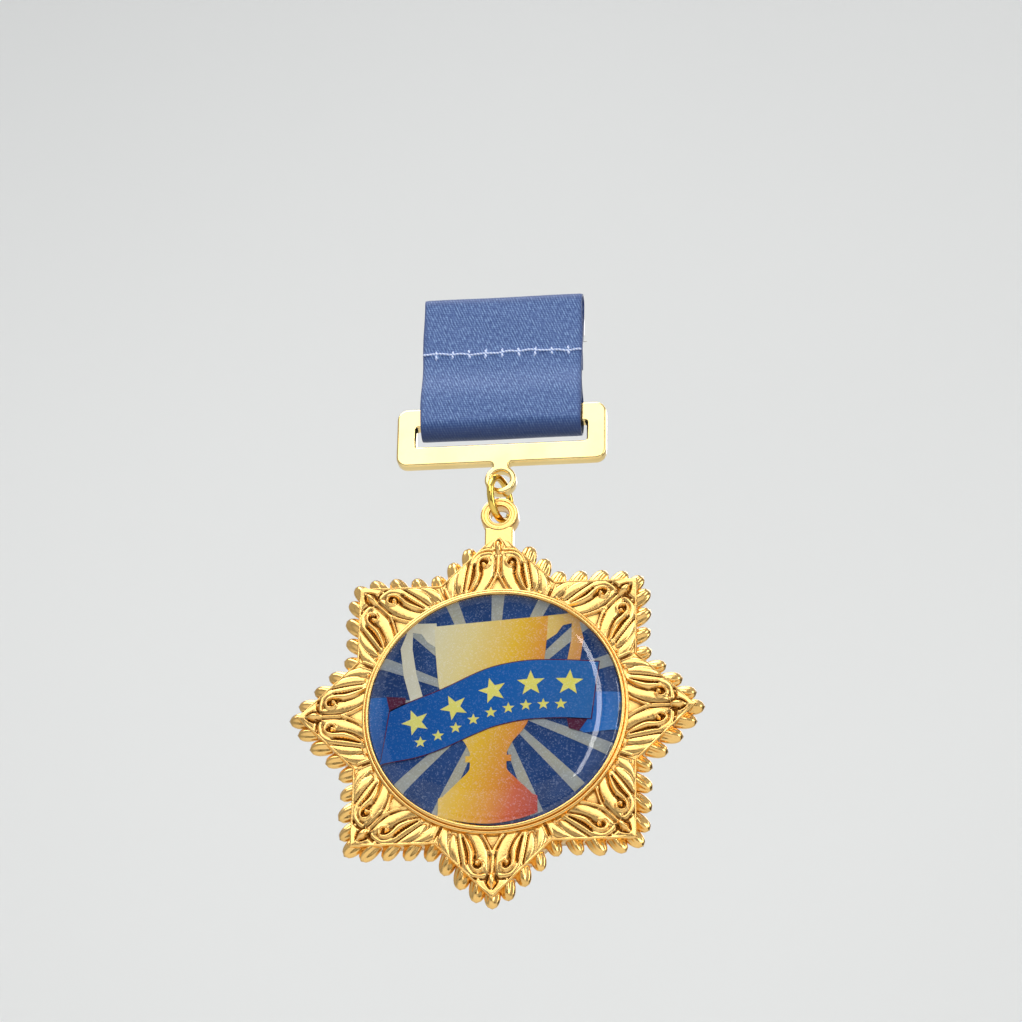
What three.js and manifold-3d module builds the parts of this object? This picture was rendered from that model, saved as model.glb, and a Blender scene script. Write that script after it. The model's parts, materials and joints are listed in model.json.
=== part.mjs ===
// A star-shaped award medal: a folded ribbon on a pin brooch, a flat buckle, a jump ring and a cast star
// pendant with a printed disc under a clear resin dome. Millimetres, +Z up as worn, the front faces -Y.
// The origin is the middle of the brooch needle, which is what carries the medal.
import * as THREE from "three";
import { mergeVertices } from "three/addons/utils/BufferGeometryUtils.js";
import Module from "manifold-3d";

const wasm = await Module();
wasm.setup();

// ---- Clearances
const restGap = 0.05; // between two faces that rest on each other
const runGap = 0.06; // radial, between a shaft and its hole
const turnGap = 0.2; // between the buckle's rail, as it turns, and the ribbon round it

// ---- Ribbon: one strip, folded over at the top, round the buckle's rail below, its ends lapped behind
const ribbonWidth = 25;
const ribbonThick = 0.5;
const ribbonHeight = 26.1; // outside of the top fold to outside of the bottom fold
const topFoldRadius = 1.25; // to the middle of the cloth
const broochDrop = 4.8; // the needle below the top fold
const seamDrop = 10.7; // the seam below the top fold
const lapLength = 3; // how far each end runs past the seam
const layerGap = 0.1; // between layers where the seam pulls them together
const seamFlat = 1.2; // the layers lie flat this far on each side of the seam
const railRide = 2.05; // the rail's middle above the middle of the bottom fold
const loopStraight = 1.2; // the loop keeps its full depth this far above the rail's middle

// ---- Seam: the thread in front, the bobbin thread behind
const threadRadius = 0.12;
const stitchPitch = 2.5;
const stitchRise = 0.08; // how far a stitch stands up between its two holes

// ---- Buckle: a flat frame with a lug below
const buckleThick = 1.8;
const railHeight = 3.3;
const windowHeight = 3.4;
const windowSide = 0.8; // between each edge of the ribbon and the window's side
const columnWidth = 3;
const buckleCorner = 1.3;
const buckleBevel = 0.35;
const windowCorner = 0.4;
const buckleLugOuter = 2.43;
const buckleLugHole = 1.4;
const buckleLugNeck = 0.5; // between the frame and the lug's round
const neckWidth = 2.6;
const lugBevel = 0.25;

// ---- Jump ring
const lugGap = 0.97; // between the buckle's lug and the pendant's lug, which sets the ring's size
const ringWire = 0.6; // wire radius
const ringCut = 0.15; // the open cut in the ring
const ringTurn = 20; // degrees, how far the ring's front leans to the wearer's right
const ringPlay = 0.25; // how far the wire lies past the middle of each lug hole, the chain being slack

// ---- Star pendant
const armCount = 8;
const starRadius = 29.9; // centre to the tip of the star plate
const starThick = 2.4; // back to the front of the star plate
const leafThick = 1.8;
const leafLength = 3.7;
const leafWidth = 2.1;
const leavesPerEdge = 3; // between an arm's tip leaf and the leaf in the valley
const tipLeafOut = 1.2; // how far the leaf on an arm's tip stands out from the plate
const edgeLeafOut = 2.2; // the same for the others, measured along the leaf
const leafFan = 5; // degrees between one leaf and the next
const pendantLugOuter = 2.9;
const pendantLugHole = 1.5;
const strapWidth = 4.3;
const lugRise = 3.1; // lug hole above the star's tip
const lugClearance = 0.6; // between the ring and the cut that it has in the top arm
const strapStart = 1; // the strap starts this far outside the rim

// ---- Setting: the rim round the picture, the printed disc and the dome
const rimInner = 18.9;
const rimWall = 1.1;
const rimHeight = 1; // above the star plate
const rimStep = 0.45; // the outer bead is this much lower
const rimRoot = 0.4; // how deep the rim's foot is sunk in the plate
const settingDepth = 0.3; // the disc's seat below the star plate
const discThick = 0.4;
const domeEdge = 0.55; // the dome's straight wall
const domeRise = 1.7; // from the wall to the middle
const domeFullness = 0.6; // 1 is an ellipse, and less is flatter in the middle

// ---- Facets
const roundSides = 60; // the setting's round pieces
const domeSteps = 7;
const clearanceSides = 32;
const hubSides = 20;
const shaftSides = 16;
const rivetHeadSides = 12;
const needleSides = 12;
const wireSides = 8;
const wireSteps = 30;
const reliefSides = 6;
const scrollSteps = 10;
const threadSides = 5;
const stepsPerStitch = 4;
const stitchSides = 6;
const stitchSteps = 20;
const lugSegments = 14; // to a quarter turn
const housingSegments = 12;
const plateSegments = 6;
const leafSegments = 5;
const frameSegments = 4;
const foldSteps = 12; // to each round fold of the ribbon
const easeSteps = 8; // to each eased bend of the ribbon

// ---- Relief on each arm: a stem and a pair of scrolls. Places are shares of the arm's length outside the rim
const reliefRadius = 0.42;
const stemRadius = 0.5;
const stemSpan = [0.12, 0.78];
const scrollPlaces = [
  [0.66, -0.08],
  [0.6, 0.2],
  [0.36, 0.46],
  [0.14, 0.44],
  [0.2, 0.24],
]; // [across, out]

// ---- Brooch: a strip with two ears, a needle on a rivet, and a turning catch
const broochLength = 25;
const broochHeight = 4.6;
const broochCorner = 1.2;
const plateMargin = 0.4; // the cloth stays flat this far below the plate
const plateThick = 0.8;
const needleStandoff = 4; // the needle's axis from the plate
const needleRadius = 0.45;
const needlePoint = 3; // length of the needle's taper
const needleTipRadius = 0.08;
const needleBeyond = 0.8; // how far the point stands past the catch
const earInset = 1.6; // rivet from the plate's end
const earWidth = 2.6;
const earThick = 0.6;
const hubRadius = 1.15;
const hubHeight = 1.6;
const rivetRadius = 0.5;
const rivetHead = 0.9;
const rivetHeadThick = 0.35;
const catchInset = 2; // middle of the catch from the plate's end
const catchLength = 2.4;
const catchWall = 0.5;
const catchPost = 1.6; // height of the post under the catch
const catchOpening = [-30, 110]; // degrees of the housing that are open, from straight back towards up
const rotorWall = 0.45;
const rotorBore = 0.7;
const rotorSlot = 45; // degrees each side of the way the needle leaves
const tabLength = 1.5;
const tabWidth = 1.44; // along the plate
const tabThick = 0.5;
const tabAngle = 78; // degrees from straight back towards up
const sewHoleRadius = 0.9;
const sewHoleSpacing = 11;
const sewThread = 0.2; // radius
const sewSlack = 0.15; // how loosely the thread goes round the plate's edge

// ---- Places that follow from the sizes. y runs back, z up
// The buckle, the ring and the star hang in one plane, under the middle of the top fold.
const chainY = -(needleStandoff + plateThick + restGap + topFoldRadius + ribbonThick / 2);
const topFoldZ = broochDrop;
const seamZ = topFoldZ - seamDrop;
const bottomFoldZ = topFoldZ - ribbonHeight;
const railHalf = railHeight / 2;
const railReach = Math.max(
  Math.hypot(buckleThick / 2 - buckleBevel, railHalf),
  Math.hypot(buckleThick / 2, railHalf - buckleBevel),
); // from the rail's middle to its furthest corner
const loopRadius = railReach + turnGap + ribbonThick / 2; // bottom fold, to the middle of the cloth
const foldCentreZ = bottomFoldZ + ribbonThick / 2 + loopRadius;
const railZ = foldCentreZ + railRide;
const windowWidth = ribbonWidth + 2 * windowSide;
const buckleWidth = windowWidth + 2 * columnWidth;
const buckleHeight = 2 * railHeight + windowHeight;
const buckleTopZ = railZ + railHalf;
const buckleBottomZ = buckleTopZ - buckleHeight;
const buckleLugZ = buckleBottomZ - buckleLugNeck - buckleLugOuter;
const ringRadius = (buckleLugOuter + lugGap + pendantLugOuter) / 2 + ringPlay; // to the middle of the wire
const ringZ = buckleLugZ + ringPlay - ringRadius;
const pendantLugZ = ringZ - ringRadius + ringPlay;
const starZ = pendantLugZ - lugRise - starRadius;
const needleY = 0;
const plateBackY = needleY - needleStandoff;
const plateFrontY = plateBackY - plateThick;
const rotorOuter = rotorBore + rotorWall;
const housingInner = rotorOuter + runGap;
const rimOuter = rimInner + rimWall;
const starFrontY = chainY - starThick / 2;
const seatY = starFrontY + settingDepth;
const rivetX = -(broochLength / 2 - earInset);
const catchX = broochLength / 2 - catchInset;

const materials = {
  ribbon: new THREE.MeshStandardMaterial({ color: 0x4a64a4, roughness: 0.75, metalness: 0 }),
  thread: new THREE.MeshStandardMaterial({ color: 0xa9b8dc, roughness: 0.6, metalness: 0 }),
  gilt: new THREE.MeshStandardMaterial({ color: 0xe9c46a, roughness: 0.22, metalness: 1 }),
  print: new THREE.MeshStandardMaterial({ color: 0x27477f, roughness: 0.6, metalness: 0 }),
  resin: new THREE.MeshStandardMaterial({ color: 0xf4f6f8, roughness: 0.05, metalness: 0 }),
  steel: new THREE.MeshStandardMaterial({ color: 0xc9c9c6, roughness: 0.3, metalness: 1 }),
};

// ---- Solids
function solid(geometry) {
  const bare = geometry.index ? geometry.toNonIndexed() : geometry.clone();
  bare.deleteAttribute("normal");
  bare.deleteAttribute("uv");
  const merged = mergeVertices(bare, 1e-4);
  return new wasm.Manifold(
    new wasm.Mesh({
      numProp: 3,
      vertProperties: new Float32Array(merged.attributes.position.array),
      triVerts: new Uint32Array(merged.index.array),
    }),
  );
}

function geometryOf(body) {
  const mesh = body.getMesh();
  const geometry = new THREE.BufferGeometry();
  geometry.setAttribute("position", new THREE.BufferAttribute(new Float32Array(mesh.vertProperties), 3));
  geometry.setIndex(new THREE.BufferAttribute(new Uint32Array(mesh.triVerts), 1));
  geometry.computeVertexNormals();
  return geometry;
}

function joined(first, ...others) {
  return others.reduce((sum, other) => sum.add(other), first);
}

// A shape drawn in X and Z, made `thick` deep in Y, with its middle at `middleY`.
function slab(shape, thick, middleY, bevel = 0, curveSegments = plateSegments) {
  const geometry = new THREE.ExtrudeGeometry(shape, {
    depth: thick - 2 * bevel,
    steps: 1,
    curveSegments,
    bevelEnabled: bevel > 0,
    bevelSize: bevel,
    bevelThickness: bevel,
    bevelOffset: -bevel,
    bevelSegments: 1,
  });
  geometry.translate(0, 0, -(thick / 2 - bevel));
  geometry.rotateX(Math.PI / 2);
  geometry.translate(0, middleY, 0);
  return geometry;
}

function disc(radius, x = 0, z = 0) {
  const shape = new THREE.Shape();
  shape.absarc(x, z, radius, 0, 2 * Math.PI);
  return shape;
}

// A round bar along an axis: "x", "y" or "z".
function bar(axis, radius, length, x, y, z, sides = shaftSides) {
  const geometry = new THREE.CylinderGeometry(radius, radius, length, sides);
  if (axis === "x") geometry.rotateZ(Math.PI / 2);
  if (axis === "z") geometry.rotateX(Math.PI / 2);
  return geometry.translate(x, y, z);
}

function block(sizeX, sizeY, sizeZ, x, y, z) {
  return new THREE.BoxGeometry(sizeX, sizeY, sizeZ).translate(x, y, z);
}

// A tube of one radius along a curve.
function tube(curve, radius, steps, sides = wireSides) {
  const section = new THREE.Shape();
  for (let i = 0; i < sides; i++) {
    const angle = (2 * Math.PI * i) / sides;
    const place = [radius * Math.cos(angle), radius * Math.sin(angle)];
    if (i === 0) section.moveTo(...place);
    else section.lineTo(...place);
  }
  return new THREE.ExtrudeGeometry(section, { steps, extrudePath: curve, bevelEnabled: false });
}

// Turns a shape drawn in depth and height, so that it is extruded along X.
const acrossX = new THREE.Matrix4().makeBasis(
  new THREE.Vector3(0, 1, 0),
  new THREE.Vector3(0, 0, 1),
  new THREE.Vector3(1, 0, 0),
);

// A profile of [radius, y] pairs turned about the Y axis.
function turned(profile, sides, x, y, z) {
  const points = profile.map(([radius, depth]) => new THREE.Vector2(radius, depth));
  return new THREE.LatheGeometry(points, sides).translate(x, y, z);
}

// ---- Ribbon
// The strip's middle line in depth and height: from its inner end behind, round the rail, up the front,
// over the top and down the back.
function ribbonLine() {
  const layer = ribbonThick + layerGap;
  const innerEndY = chainY - layer; // the back layers at the seam, chainY being the outer one
  const frontY = innerEndY - layer;
  const lapEnd = seamZ - lapLength;
  const swellZ = railZ + loopStraight;
  const foldTopZ = topFoldZ - ribbonThick / 2 - topFoldRadius;
  const plateFootZ = -broochHeight / 2 - plateMargin;
  const line = new THREE.CurvePath();
  const add = (curve) => line.add(curve);
  const at = (y, z) => new THREE.Vector2(y, z);
  const ease = (from, to) => {
    const middle = (from.y + to.y) / 2;
    add(new THREE.CubicBezierCurve(from, at(from.x, middle), at(to.x, middle), to));
  };
  const straightTo = (from, to) => add(new THREE.LineCurve(from, to));
  const inner = [at(innerEndY, seamZ + lapLength), at(innerEndY, lapEnd - ribbonThick)];
  const back = [at(chainY + loopRadius, swellZ), at(chainY + loopRadius, foldCentreZ)];
  const front = [at(chainY - loopRadius, foldCentreZ), at(chainY - loopRadius, swellZ)];
  const seam = [at(frontY, seamZ - seamFlat), at(frontY, seamZ + seamFlat)];
  const top = [at(chainY - topFoldRadius, foldTopZ), at(chainY + topFoldRadius, foldTopZ)];
  const plate = at(chainY + topFoldRadius, plateFootZ);
  const outer = [at(chainY, seamZ + seamFlat), at(chainY, lapEnd)];
  straightTo(...inner);
  ease(inner[1], back[0]);
  straightTo(...back);
  add(new THREE.EllipseCurve(chainY, foldCentreZ, loopRadius, loopRadius, 0, Math.PI, true));
  straightTo(...front);
  ease(front[1], seam[0]);
  straightTo(...seam);
  ease(seam[1], top[0]);
  add(new THREE.EllipseCurve(chainY, foldTopZ, topFoldRadius, topFoldRadius, Math.PI, 0, true));
  straightTo(top[1], plate);
  ease(plate, outer[0]);
  straightTo(...outer);
  return line;
}

function ribbon() {
  const line = [];
  for (const curve of ribbonLine().curves) {
    const steps = curve instanceof THREE.LineCurve ? 1 : curve instanceof THREE.EllipseCurve ? foldSteps : easeSteps;
    for (const point of curve.getPoints(steps)) {
      const last = line[line.length - 1];
      if (!last || last.distanceTo(point) > 1e-6) line.push(point);
    }
  }
  const side = (sign) =>
    line.map((point, i) => {
      const before = line[Math.max(i - 1, 0)];
      const after = line[Math.min(i + 1, line.length - 1)];
      const along = after.clone().sub(before).normalize();
      return point.clone().add(new THREE.Vector2(-along.y, along.x).multiplyScalar((sign * ribbonThick) / 2));
    });
  const outline = new THREE.Shape([...side(1), ...side(-1).reverse()]);
  const geometry = new THREE.ExtrudeGeometry(outline, { depth: ribbonWidth, steps: 1, bevelEnabled: false });
  return geometry.applyMatrix4(acrossX).translate(-ribbonWidth / 2, 0, 0);
}

// A row of stitches across the ribbon. `out` is -1 for the front and 1 for the back.
function seamThread(surfaceY, out) {
  const stitches = Math.round(ribbonWidth / stitchPitch);
  const pitch = ribbonWidth / stitches;
  const points = [];
  for (let i = 0; i <= 2 * stitches; i++) {
    const rise = threadRadius + restGap / 2 + (i % 2 ? stitchRise : 0);
    points.push(new THREE.Vector3(-ribbonWidth / 2 + (i * pitch) / 2, surfaceY + out * rise, seamZ));
  }
  return tube(new THREE.CatmullRomCurve3(points), threadRadius, stepsPerStitch * stitches, threadSides);
}

// ---- Buckle
function lugShape(outer, hole, z) {
  const shape = disc(outer, 0, z);
  shape.holes.push(disc(hole, 0, z));
  return shape;
}

function roundedRectangle(width, height, corner, x, z) {
  const left = x - width / 2;
  const low = z - height / 2;
  const shape = new THREE.Shape();
  shape.moveTo(left + corner, low);
  shape.lineTo(left + width - corner, low);
  shape.absarc(left + width - corner, low + corner, corner, -Math.PI / 2, 0);
  shape.lineTo(left + width, low + height - corner);
  shape.absarc(left + width - corner, low + height - corner, corner, 0, Math.PI / 2);
  shape.lineTo(left + corner, low + height);
  shape.absarc(left + corner, low + height - corner, corner, Math.PI / 2, Math.PI);
  shape.lineTo(left, low + corner);
  shape.absarc(left + corner, low + corner, corner, Math.PI, (3 * Math.PI) / 2);
  return shape;
}

function buckle() {
  const middleZ = (buckleTopZ + buckleBottomZ) / 2;
  const frame = roundedRectangle(buckleWidth, buckleHeight, buckleCorner, 0, middleZ);
  frame.holes.push(roundedRectangle(windowWidth, windowHeight, windowCorner, 0, middleZ));
  const neckTop = buckleBottomZ + buckleBevel;
  const neckFoot = buckleLugZ + (buckleLugOuter + buckleLugHole) / 2;
  const neckDepth = buckleThick - 2 * lugBevel;
  return joined(
    solid(slab(frame, buckleThick, chainY, buckleBevel, frameSegments)),
    solid(slab(lugShape(buckleLugOuter, buckleLugHole, buckleLugZ), buckleThick, chainY, lugBevel, lugSegments)),
    solid(block(neckWidth, neckDepth, neckTop - neckFoot, 0, chainY, (neckTop + neckFoot) / 2)),
  );
}

// ---- Jump ring: a circle of wire standing across the two lugs, cut open at the back
class RingLine extends THREE.Curve {
  getPoint(t, target = new THREE.Vector3()) {
    const opening = ringCut / ringRadius;
    const angle = opening / 2 + t * (2 * Math.PI - opening);
    const out = ringRadius * Math.cos(angle);
    const lean = THREE.MathUtils.degToRad(ringTurn);
    const up = ringRadius * Math.sin(angle);
    return target.set(out * Math.sin(lean), chainY + out * Math.cos(lean), ringZ + up);
  }
}

// ---- Star pendant
function starOutline() {
  const valley = (starRadius * Math.cos((2 * Math.PI) / armCount)) / Math.cos(Math.PI / armCount);
  const points = [];
  for (let i = 0; i < 2 * armCount; i++) {
    const radius = i % 2 ? valley : starRadius;
    const angle = (Math.PI * i) / armCount;
    points.push(new THREE.Vector2(radius * Math.sin(angle), starZ + radius * Math.cos(angle)));
  }
  return { points, valley };
}

// The leaves round the star: the point of the plate's edge that each one crosses, and the way it points.
function leafPlaces() {
  const { valley } = starOutline();
  const places = [];
  for (let arm = 0; arm < armCount; arm++) {
    const armAngle = (2 * Math.PI * arm) / armCount;
    const tip = new THREE.Vector2(0, starRadius);
    places.push({ foot: tip.clone(), lean: 0, reach: tipLeafOut, armAngle });
    for (const side of [-1, 1]) {
      const half = Math.PI / armCount;
      const low = new THREE.Vector2(side * valley * Math.sin(half), valley * Math.cos(half));
      for (let i = 1; i <= leavesPerEdge; i++) {
        const share = i / (leavesPerEdge + 1);
        places.push({
          foot: tip.clone().lerp(low, share),
          lean: side * THREE.MathUtils.degToRad(leafFan * i),
          reach: edgeLeafOut,
          armAngle,
        });
      }
      if (side === 1) places.push({ foot: low, lean: half, reach: edgeLeafOut, armAngle });
    }
  }
  return places;
}

function leaf({ foot, lean, reach, armAngle }) {
  const outline = new THREE.Shape();
  outline.absellipse(0, 0, leafWidth / 2, leafLength / 2, 0, 2 * Math.PI);
  const geometry = slab(outline, leafThick, 0, 0, leafSegments);
  const middle = foot.clone().add(
    new THREE.Vector2(Math.sin(lean), Math.cos(lean)).multiplyScalar(reach - leafLength / 2),
  );
  geometry.rotateY(lean).translate(middle.x, 0, middle.y);
  geometry.rotateY(armAngle).translate(0, chainY + starThick / 2 - leafThick / 2, starZ);
  return geometry;
}

// One arm's relief, on the arm that points up: a stem with a bud, and two scrolls that curl in towards it.
function armRelief(arm) {
  const surfaceY = -starThick / 2;
  const reach = starRadius - rimOuter; // the arm's length outside the rim
  const place = (x, share) => new THREE.Vector3(x * reach, surfaceY, rimOuter + share * reach);
  const stem = new THREE.LineCurve3(...stemSpan.map((share) => place(0, share)));
  const pieces = [tube(stem, stemRadius, 1, reliefSides)];
  for (const side of [-1, 1]) {
    const scroll = new THREE.CatmullRomCurve3(scrollPlaces.map(([x, share]) => place(side * x, share)));
    pieces.push(tube(scroll, reliefRadius, scrollSteps, reliefSides));
  }
  const angle = (2 * Math.PI * arm) / armCount;
  return pieces.map((geometry) => solid(geometry.rotateY(angle).translate(0, chainY, starZ)));
}

function starCasting() {
  const { points } = starOutline();
  const middle = rimInner + rimWall / 2;
  const rim = turned(
    [
      [rimInner, rimRoot],
      [rimOuter, rimRoot],
      [rimOuter, -(rimHeight - rimStep)],
      [middle, -(rimHeight - rimStep)],
      [middle, -rimHeight],
      [rimInner, -rimHeight],
      [rimInner, rimRoot],
    ].reverse(),
    roundSides,
    0,
    starFrontY,
    starZ,
  );
  const seatCut = settingDepth + rimHeight + reliefRadius;
  const seat = bar("y", rimInner, seatCut, 0, seatY - seatCut / 2, starZ, roundSides);
  const strapTop = pendantLugZ - (pendantLugHole + pendantLugOuter) / 2;
  const strapFoot = starZ + rimOuter + strapStart;
  const strap = block(strapWidth, starThick, strapTop - strapFoot, 0, chainY, (strapTop + strapFoot) / 2);
  const blank = slab(new THREE.Shape(points), starThick, chainY);
  const ringSweep = ringRadius + ringWire + lugClearance;
  const clearance = bar("y", ringSweep, 2 * starThick, 0, chainY, pendantLugZ, clearanceSides);
  const leaves = leafPlaces().map((place) => solid(leaf(place)));
  const star = joined(solid(blank), ...leaves).subtract(solid(clearance));
  const relief = Array.from({ length: armCount }, (_, arm) => arm)
    .filter((arm) => arm > 0)
    .flatMap(armRelief);
  return joined(
    star,
    solid(strap),
    solid(slab(lugShape(pendantLugOuter, pendantLugHole, pendantLugZ), starThick, chainY, lugBevel, lugSegments)),
    ...relief,
  )
    .subtract(solid(seat))
    .add(solid(rim));
}

function printedDisc() {
  return bar("y", rimInner - runGap, discThick, 0, seatY - restGap - discThick / 2, starZ, roundSides);
}

function resinDome() {
  const footY = seatY - 2 * restGap - discThick;
  const radius = rimInner - runGap;
  const profile = [[0, 0], [radius, 0]];
  for (let i = 0; i <= domeSteps; i++) {
    const angle = (Math.PI / 2) * (i / domeSteps);
    // A drop of resin is flat in the middle and falls away at its edge.
    profile.push([radius * Math.cos(angle) ** domeFullness, -(domeEdge + domeRise * Math.sin(angle))]);
  }
  profile[profile.length - 1][0] = 0;
  return turned(profile.reverse(), roundSides, 0, footY, starZ);
}

// ---- Brooch
// A tube along X with an opening from `from` to `to` degrees, counted from +Y towards +Z.
function openTube(outer, inner, length, [from, to], x) {
  const shape = new THREE.Shape();
  const start = THREE.MathUtils.degToRad(to);
  const end = THREE.MathUtils.degToRad(from + 360);
  shape.absarc(0, 0, outer, start, end);
  shape.absarc(0, 0, inner, end, start, true);
  const settings = { depth: length, steps: 1, curveSegments: housingSegments, bevelEnabled: false };
  const geometry = new THREE.ExtrudeGeometry(shape, settings);
  return geometry.applyMatrix4(acrossX).translate(x - length / 2, needleY, 0);
}

function broochBase() {
  const plate = roundedRectangle(broochLength, broochHeight, broochCorner, 0, 0);
  for (const side of [-1, 1]) plate.holes.push(disc(sewHoleRadius, (side * sewHoleSpacing) / 2, 0));
  const earZ = hubHeight / 2 + runGap + earThick / 2;
  const earFoot = plateBackY - plateThick / 2;
  const earTop = needleY + earWidth / 2;
  const ears = [-1, 1].map((side) =>
    solid(block(earWidth, earTop - earFoot, earThick, rivetX, (earTop + earFoot) / 2, side * earZ)),
  );
  const rivetHole = bar("z", rivetRadius + runGap / 2, 2 * broochHeight, rivetX, needleY, 0, shaftSides);
  const postFoot = plateBackY - plateThick / 2;
  const postTop = needleY - housingInner - catchWall / 2;
  const post = block(catchLength, postTop - postFoot, catchPost, catchX, (postTop + postFoot) / 2, 0);
  return joined(
    solid(slab(plate, plateThick, (plateBackY + plateFrontY) / 2, 0, plateSegments)),
    ...ears,
    solid(post),
    solid(openTube(housingInner + catchWall, housingInner, catchLength, catchOpening, catchX)),
  ).subtract(solid(rivetHole));
}

function broochRivet() {
  const halfSpan = hubHeight / 2 + runGap + earThick;
  const headZ = halfSpan + restGap + rivetHeadThick / 2;
  const heads = [-1, 1].map((side) =>
    solid(bar("z", rivetHead, rivetHeadThick, rivetX, needleY, side * headZ, rivetHeadSides)),
  );
  const shank = 2 * (halfSpan + restGap) + rivetHeadThick;
  return joined(solid(bar("z", rivetRadius, shank, rivetX, needleY, 0, shaftSides)), ...heads);
}

function broochNeedle() {
  const tipX = catchX + catchLength / 2 + needleBeyond;
  const profile = [
    [0, tipX],
    [needleTipRadius, tipX - needleTipRadius],
    [needleRadius, tipX - needlePoint],
    [needleRadius, rivetX + hubRadius / 2],
    [0, rivetX + hubRadius / 2],
  ].map(([radius, x]) => new THREE.Vector2(radius, x));
  const shaft = new THREE.LatheGeometry(profile.reverse(), needleSides).rotateZ(-Math.PI / 2);
  const hub = bar("z", hubRadius, hubHeight, rivetX, needleY, 0, hubSides);
  const hole = bar("z", rivetRadius + runGap, 2 * hubHeight, rivetX, needleY, 0, shaftSides);
  return solid(shaft.translate(0, needleY, 0)).add(solid(hub)).subtract(solid(hole));
}

function catchRotor() {
  const tabFoot = rotorOuter - rotorWall / 2;
  const tabTop = rotorOuter + tabLength;
  const tab = block(tabWidth, tabTop - tabFoot, tabThick, 0, (tabTop + tabFoot) / 2, 0);
  tab.rotateX(THREE.MathUtils.degToRad(tabAngle)).translate(catchX, needleY, 0);
  const barrel = openTube(rotorOuter, rotorBore, catchLength, [-rotorSlot, rotorSlot], catchX);
  return solid(barrel).add(solid(tab));
}

// A stitch that holds the brooch: out of a sewing hole and over the plate's edge.
function broochStitch(side) {
  const x = (side * sewHoleSpacing) / 2;
  const footY = plateFrontY + restGap;
  const reach = sewThread + restGap; // from a face of the plate to the thread's middle
  const overY = plateBackY + reach + sewSlack;
  const holeZ = sewHoleRadius - reach;
  const edgeZ = broochHeight / 2 + reach + sewSlack;
  const points = [
    [holeZ - sewSlack, footY],
    [holeZ - sewSlack, plateBackY],
    [holeZ + 2 * sewSlack, overY],
    [edgeZ - 3 * sewSlack, overY],
    [edgeZ, plateBackY],
    [edgeZ, footY],
  ].map(([z, y]) => new THREE.Vector3(x, y, z));
  return tube(new THREE.CatmullRomCurve3(points), sewThread, stitchSteps, stitchSides);
}

// ---- The assembly
function named(name, shape, material) {
  const geometry = shape.isBufferGeometry ? shape : geometryOf(shape);
  const mesh = new THREE.Mesh(geometry, material);
  mesh.name = name;
  return mesh;
}

const seamFrontY = chainY - 2 * (ribbonThick + layerGap) - ribbonThick / 2;
const seamBackY = chainY + ribbonThick / 2;

const medal = new THREE.Group();
medal.add(
  named("ribbon", ribbon(), materials.ribbon),
  named("seam_thread", seamThread(seamFrontY, -1), materials.thread),
  named("seam_bobbin_thread", seamThread(seamBackY, 1), materials.thread),
  named("buckle", buckle(), materials.gilt),
  named("jump_ring", tube(new RingLine(), ringWire, wireSteps, wireSides), materials.gilt),
  named("star_casting", starCasting(), materials.gilt),
  named("printed_disc", printedDisc(), materials.print),
  named("resin_dome", resinDome(), materials.resin),
  named("brooch_base", broochBase(), materials.steel),
  named("brooch_rivet", broochRivet(), materials.steel),
  named("brooch_needle", broochNeedle(), materials.steel),
  named("catch_rotor", catchRotor(), materials.steel),
  named("brooch_stitch_left", broochStitch(-1), materials.thread),
  named("brooch_stitch_right", broochStitch(1), materials.thread),
);

export default medal;
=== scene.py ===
# An award medal: a blue satin ribbon on a bar pin, a flat gilt buckle, a jump ring and a cast gilt star
# with a printed foil picture under clear epoxy. Sizes in the dictionaries are millimetres.
import json
import math

import bmesh
import bpy
import numpy as np
from mathutils import Matrix, Vector

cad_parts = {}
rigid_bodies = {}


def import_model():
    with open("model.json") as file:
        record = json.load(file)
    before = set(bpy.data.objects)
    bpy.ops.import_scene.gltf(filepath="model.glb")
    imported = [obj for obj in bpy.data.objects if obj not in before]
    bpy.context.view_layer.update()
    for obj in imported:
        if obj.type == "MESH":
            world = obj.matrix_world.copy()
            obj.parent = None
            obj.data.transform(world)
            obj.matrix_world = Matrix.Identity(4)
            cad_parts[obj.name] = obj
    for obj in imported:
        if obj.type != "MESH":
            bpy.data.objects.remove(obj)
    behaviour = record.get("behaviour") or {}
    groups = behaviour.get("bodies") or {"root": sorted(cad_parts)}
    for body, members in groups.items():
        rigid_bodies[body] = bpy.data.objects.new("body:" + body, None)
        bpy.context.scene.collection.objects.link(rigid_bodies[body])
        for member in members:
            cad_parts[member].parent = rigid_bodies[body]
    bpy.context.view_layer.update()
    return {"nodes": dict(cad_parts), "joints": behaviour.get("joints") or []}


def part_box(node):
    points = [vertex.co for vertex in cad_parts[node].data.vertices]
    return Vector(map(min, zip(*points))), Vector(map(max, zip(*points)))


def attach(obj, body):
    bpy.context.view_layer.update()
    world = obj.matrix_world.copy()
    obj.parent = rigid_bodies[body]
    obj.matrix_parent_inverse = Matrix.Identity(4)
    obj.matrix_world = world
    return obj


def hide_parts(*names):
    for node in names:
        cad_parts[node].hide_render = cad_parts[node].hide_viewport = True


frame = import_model()
mm = 0.001


def spanOf(node):
    low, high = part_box(node)
    return np.array(low) / mm, np.array(high) / mm


# Places taken from the frame, in millimetres: the plane that buckle, ring and star hang in, and the middles
buckleLow, buckleHigh = spanOf("buckle")
discLow, discHigh = spanOf("printed_disc")
ribbonLow, ribbonHigh = spanOf("ribbon")
ringLow, ringHigh = spanOf("jump_ring")
hangY = (buckleLow[1] + buckleHigh[1]) / 2
starZ = (discLow[2] + discHigh[2]) / 2
ringZ = (ringLow[2] + ringHigh[2]) / 2
jointAt = {joint["name"]: np.array(joint["pos_m"]) / mm for joint in frame["joints"]}
pendantHoleZ = jointAt["pendant_swing"][2]
railZ = jointAt["buckle_tilt"][2]


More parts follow.
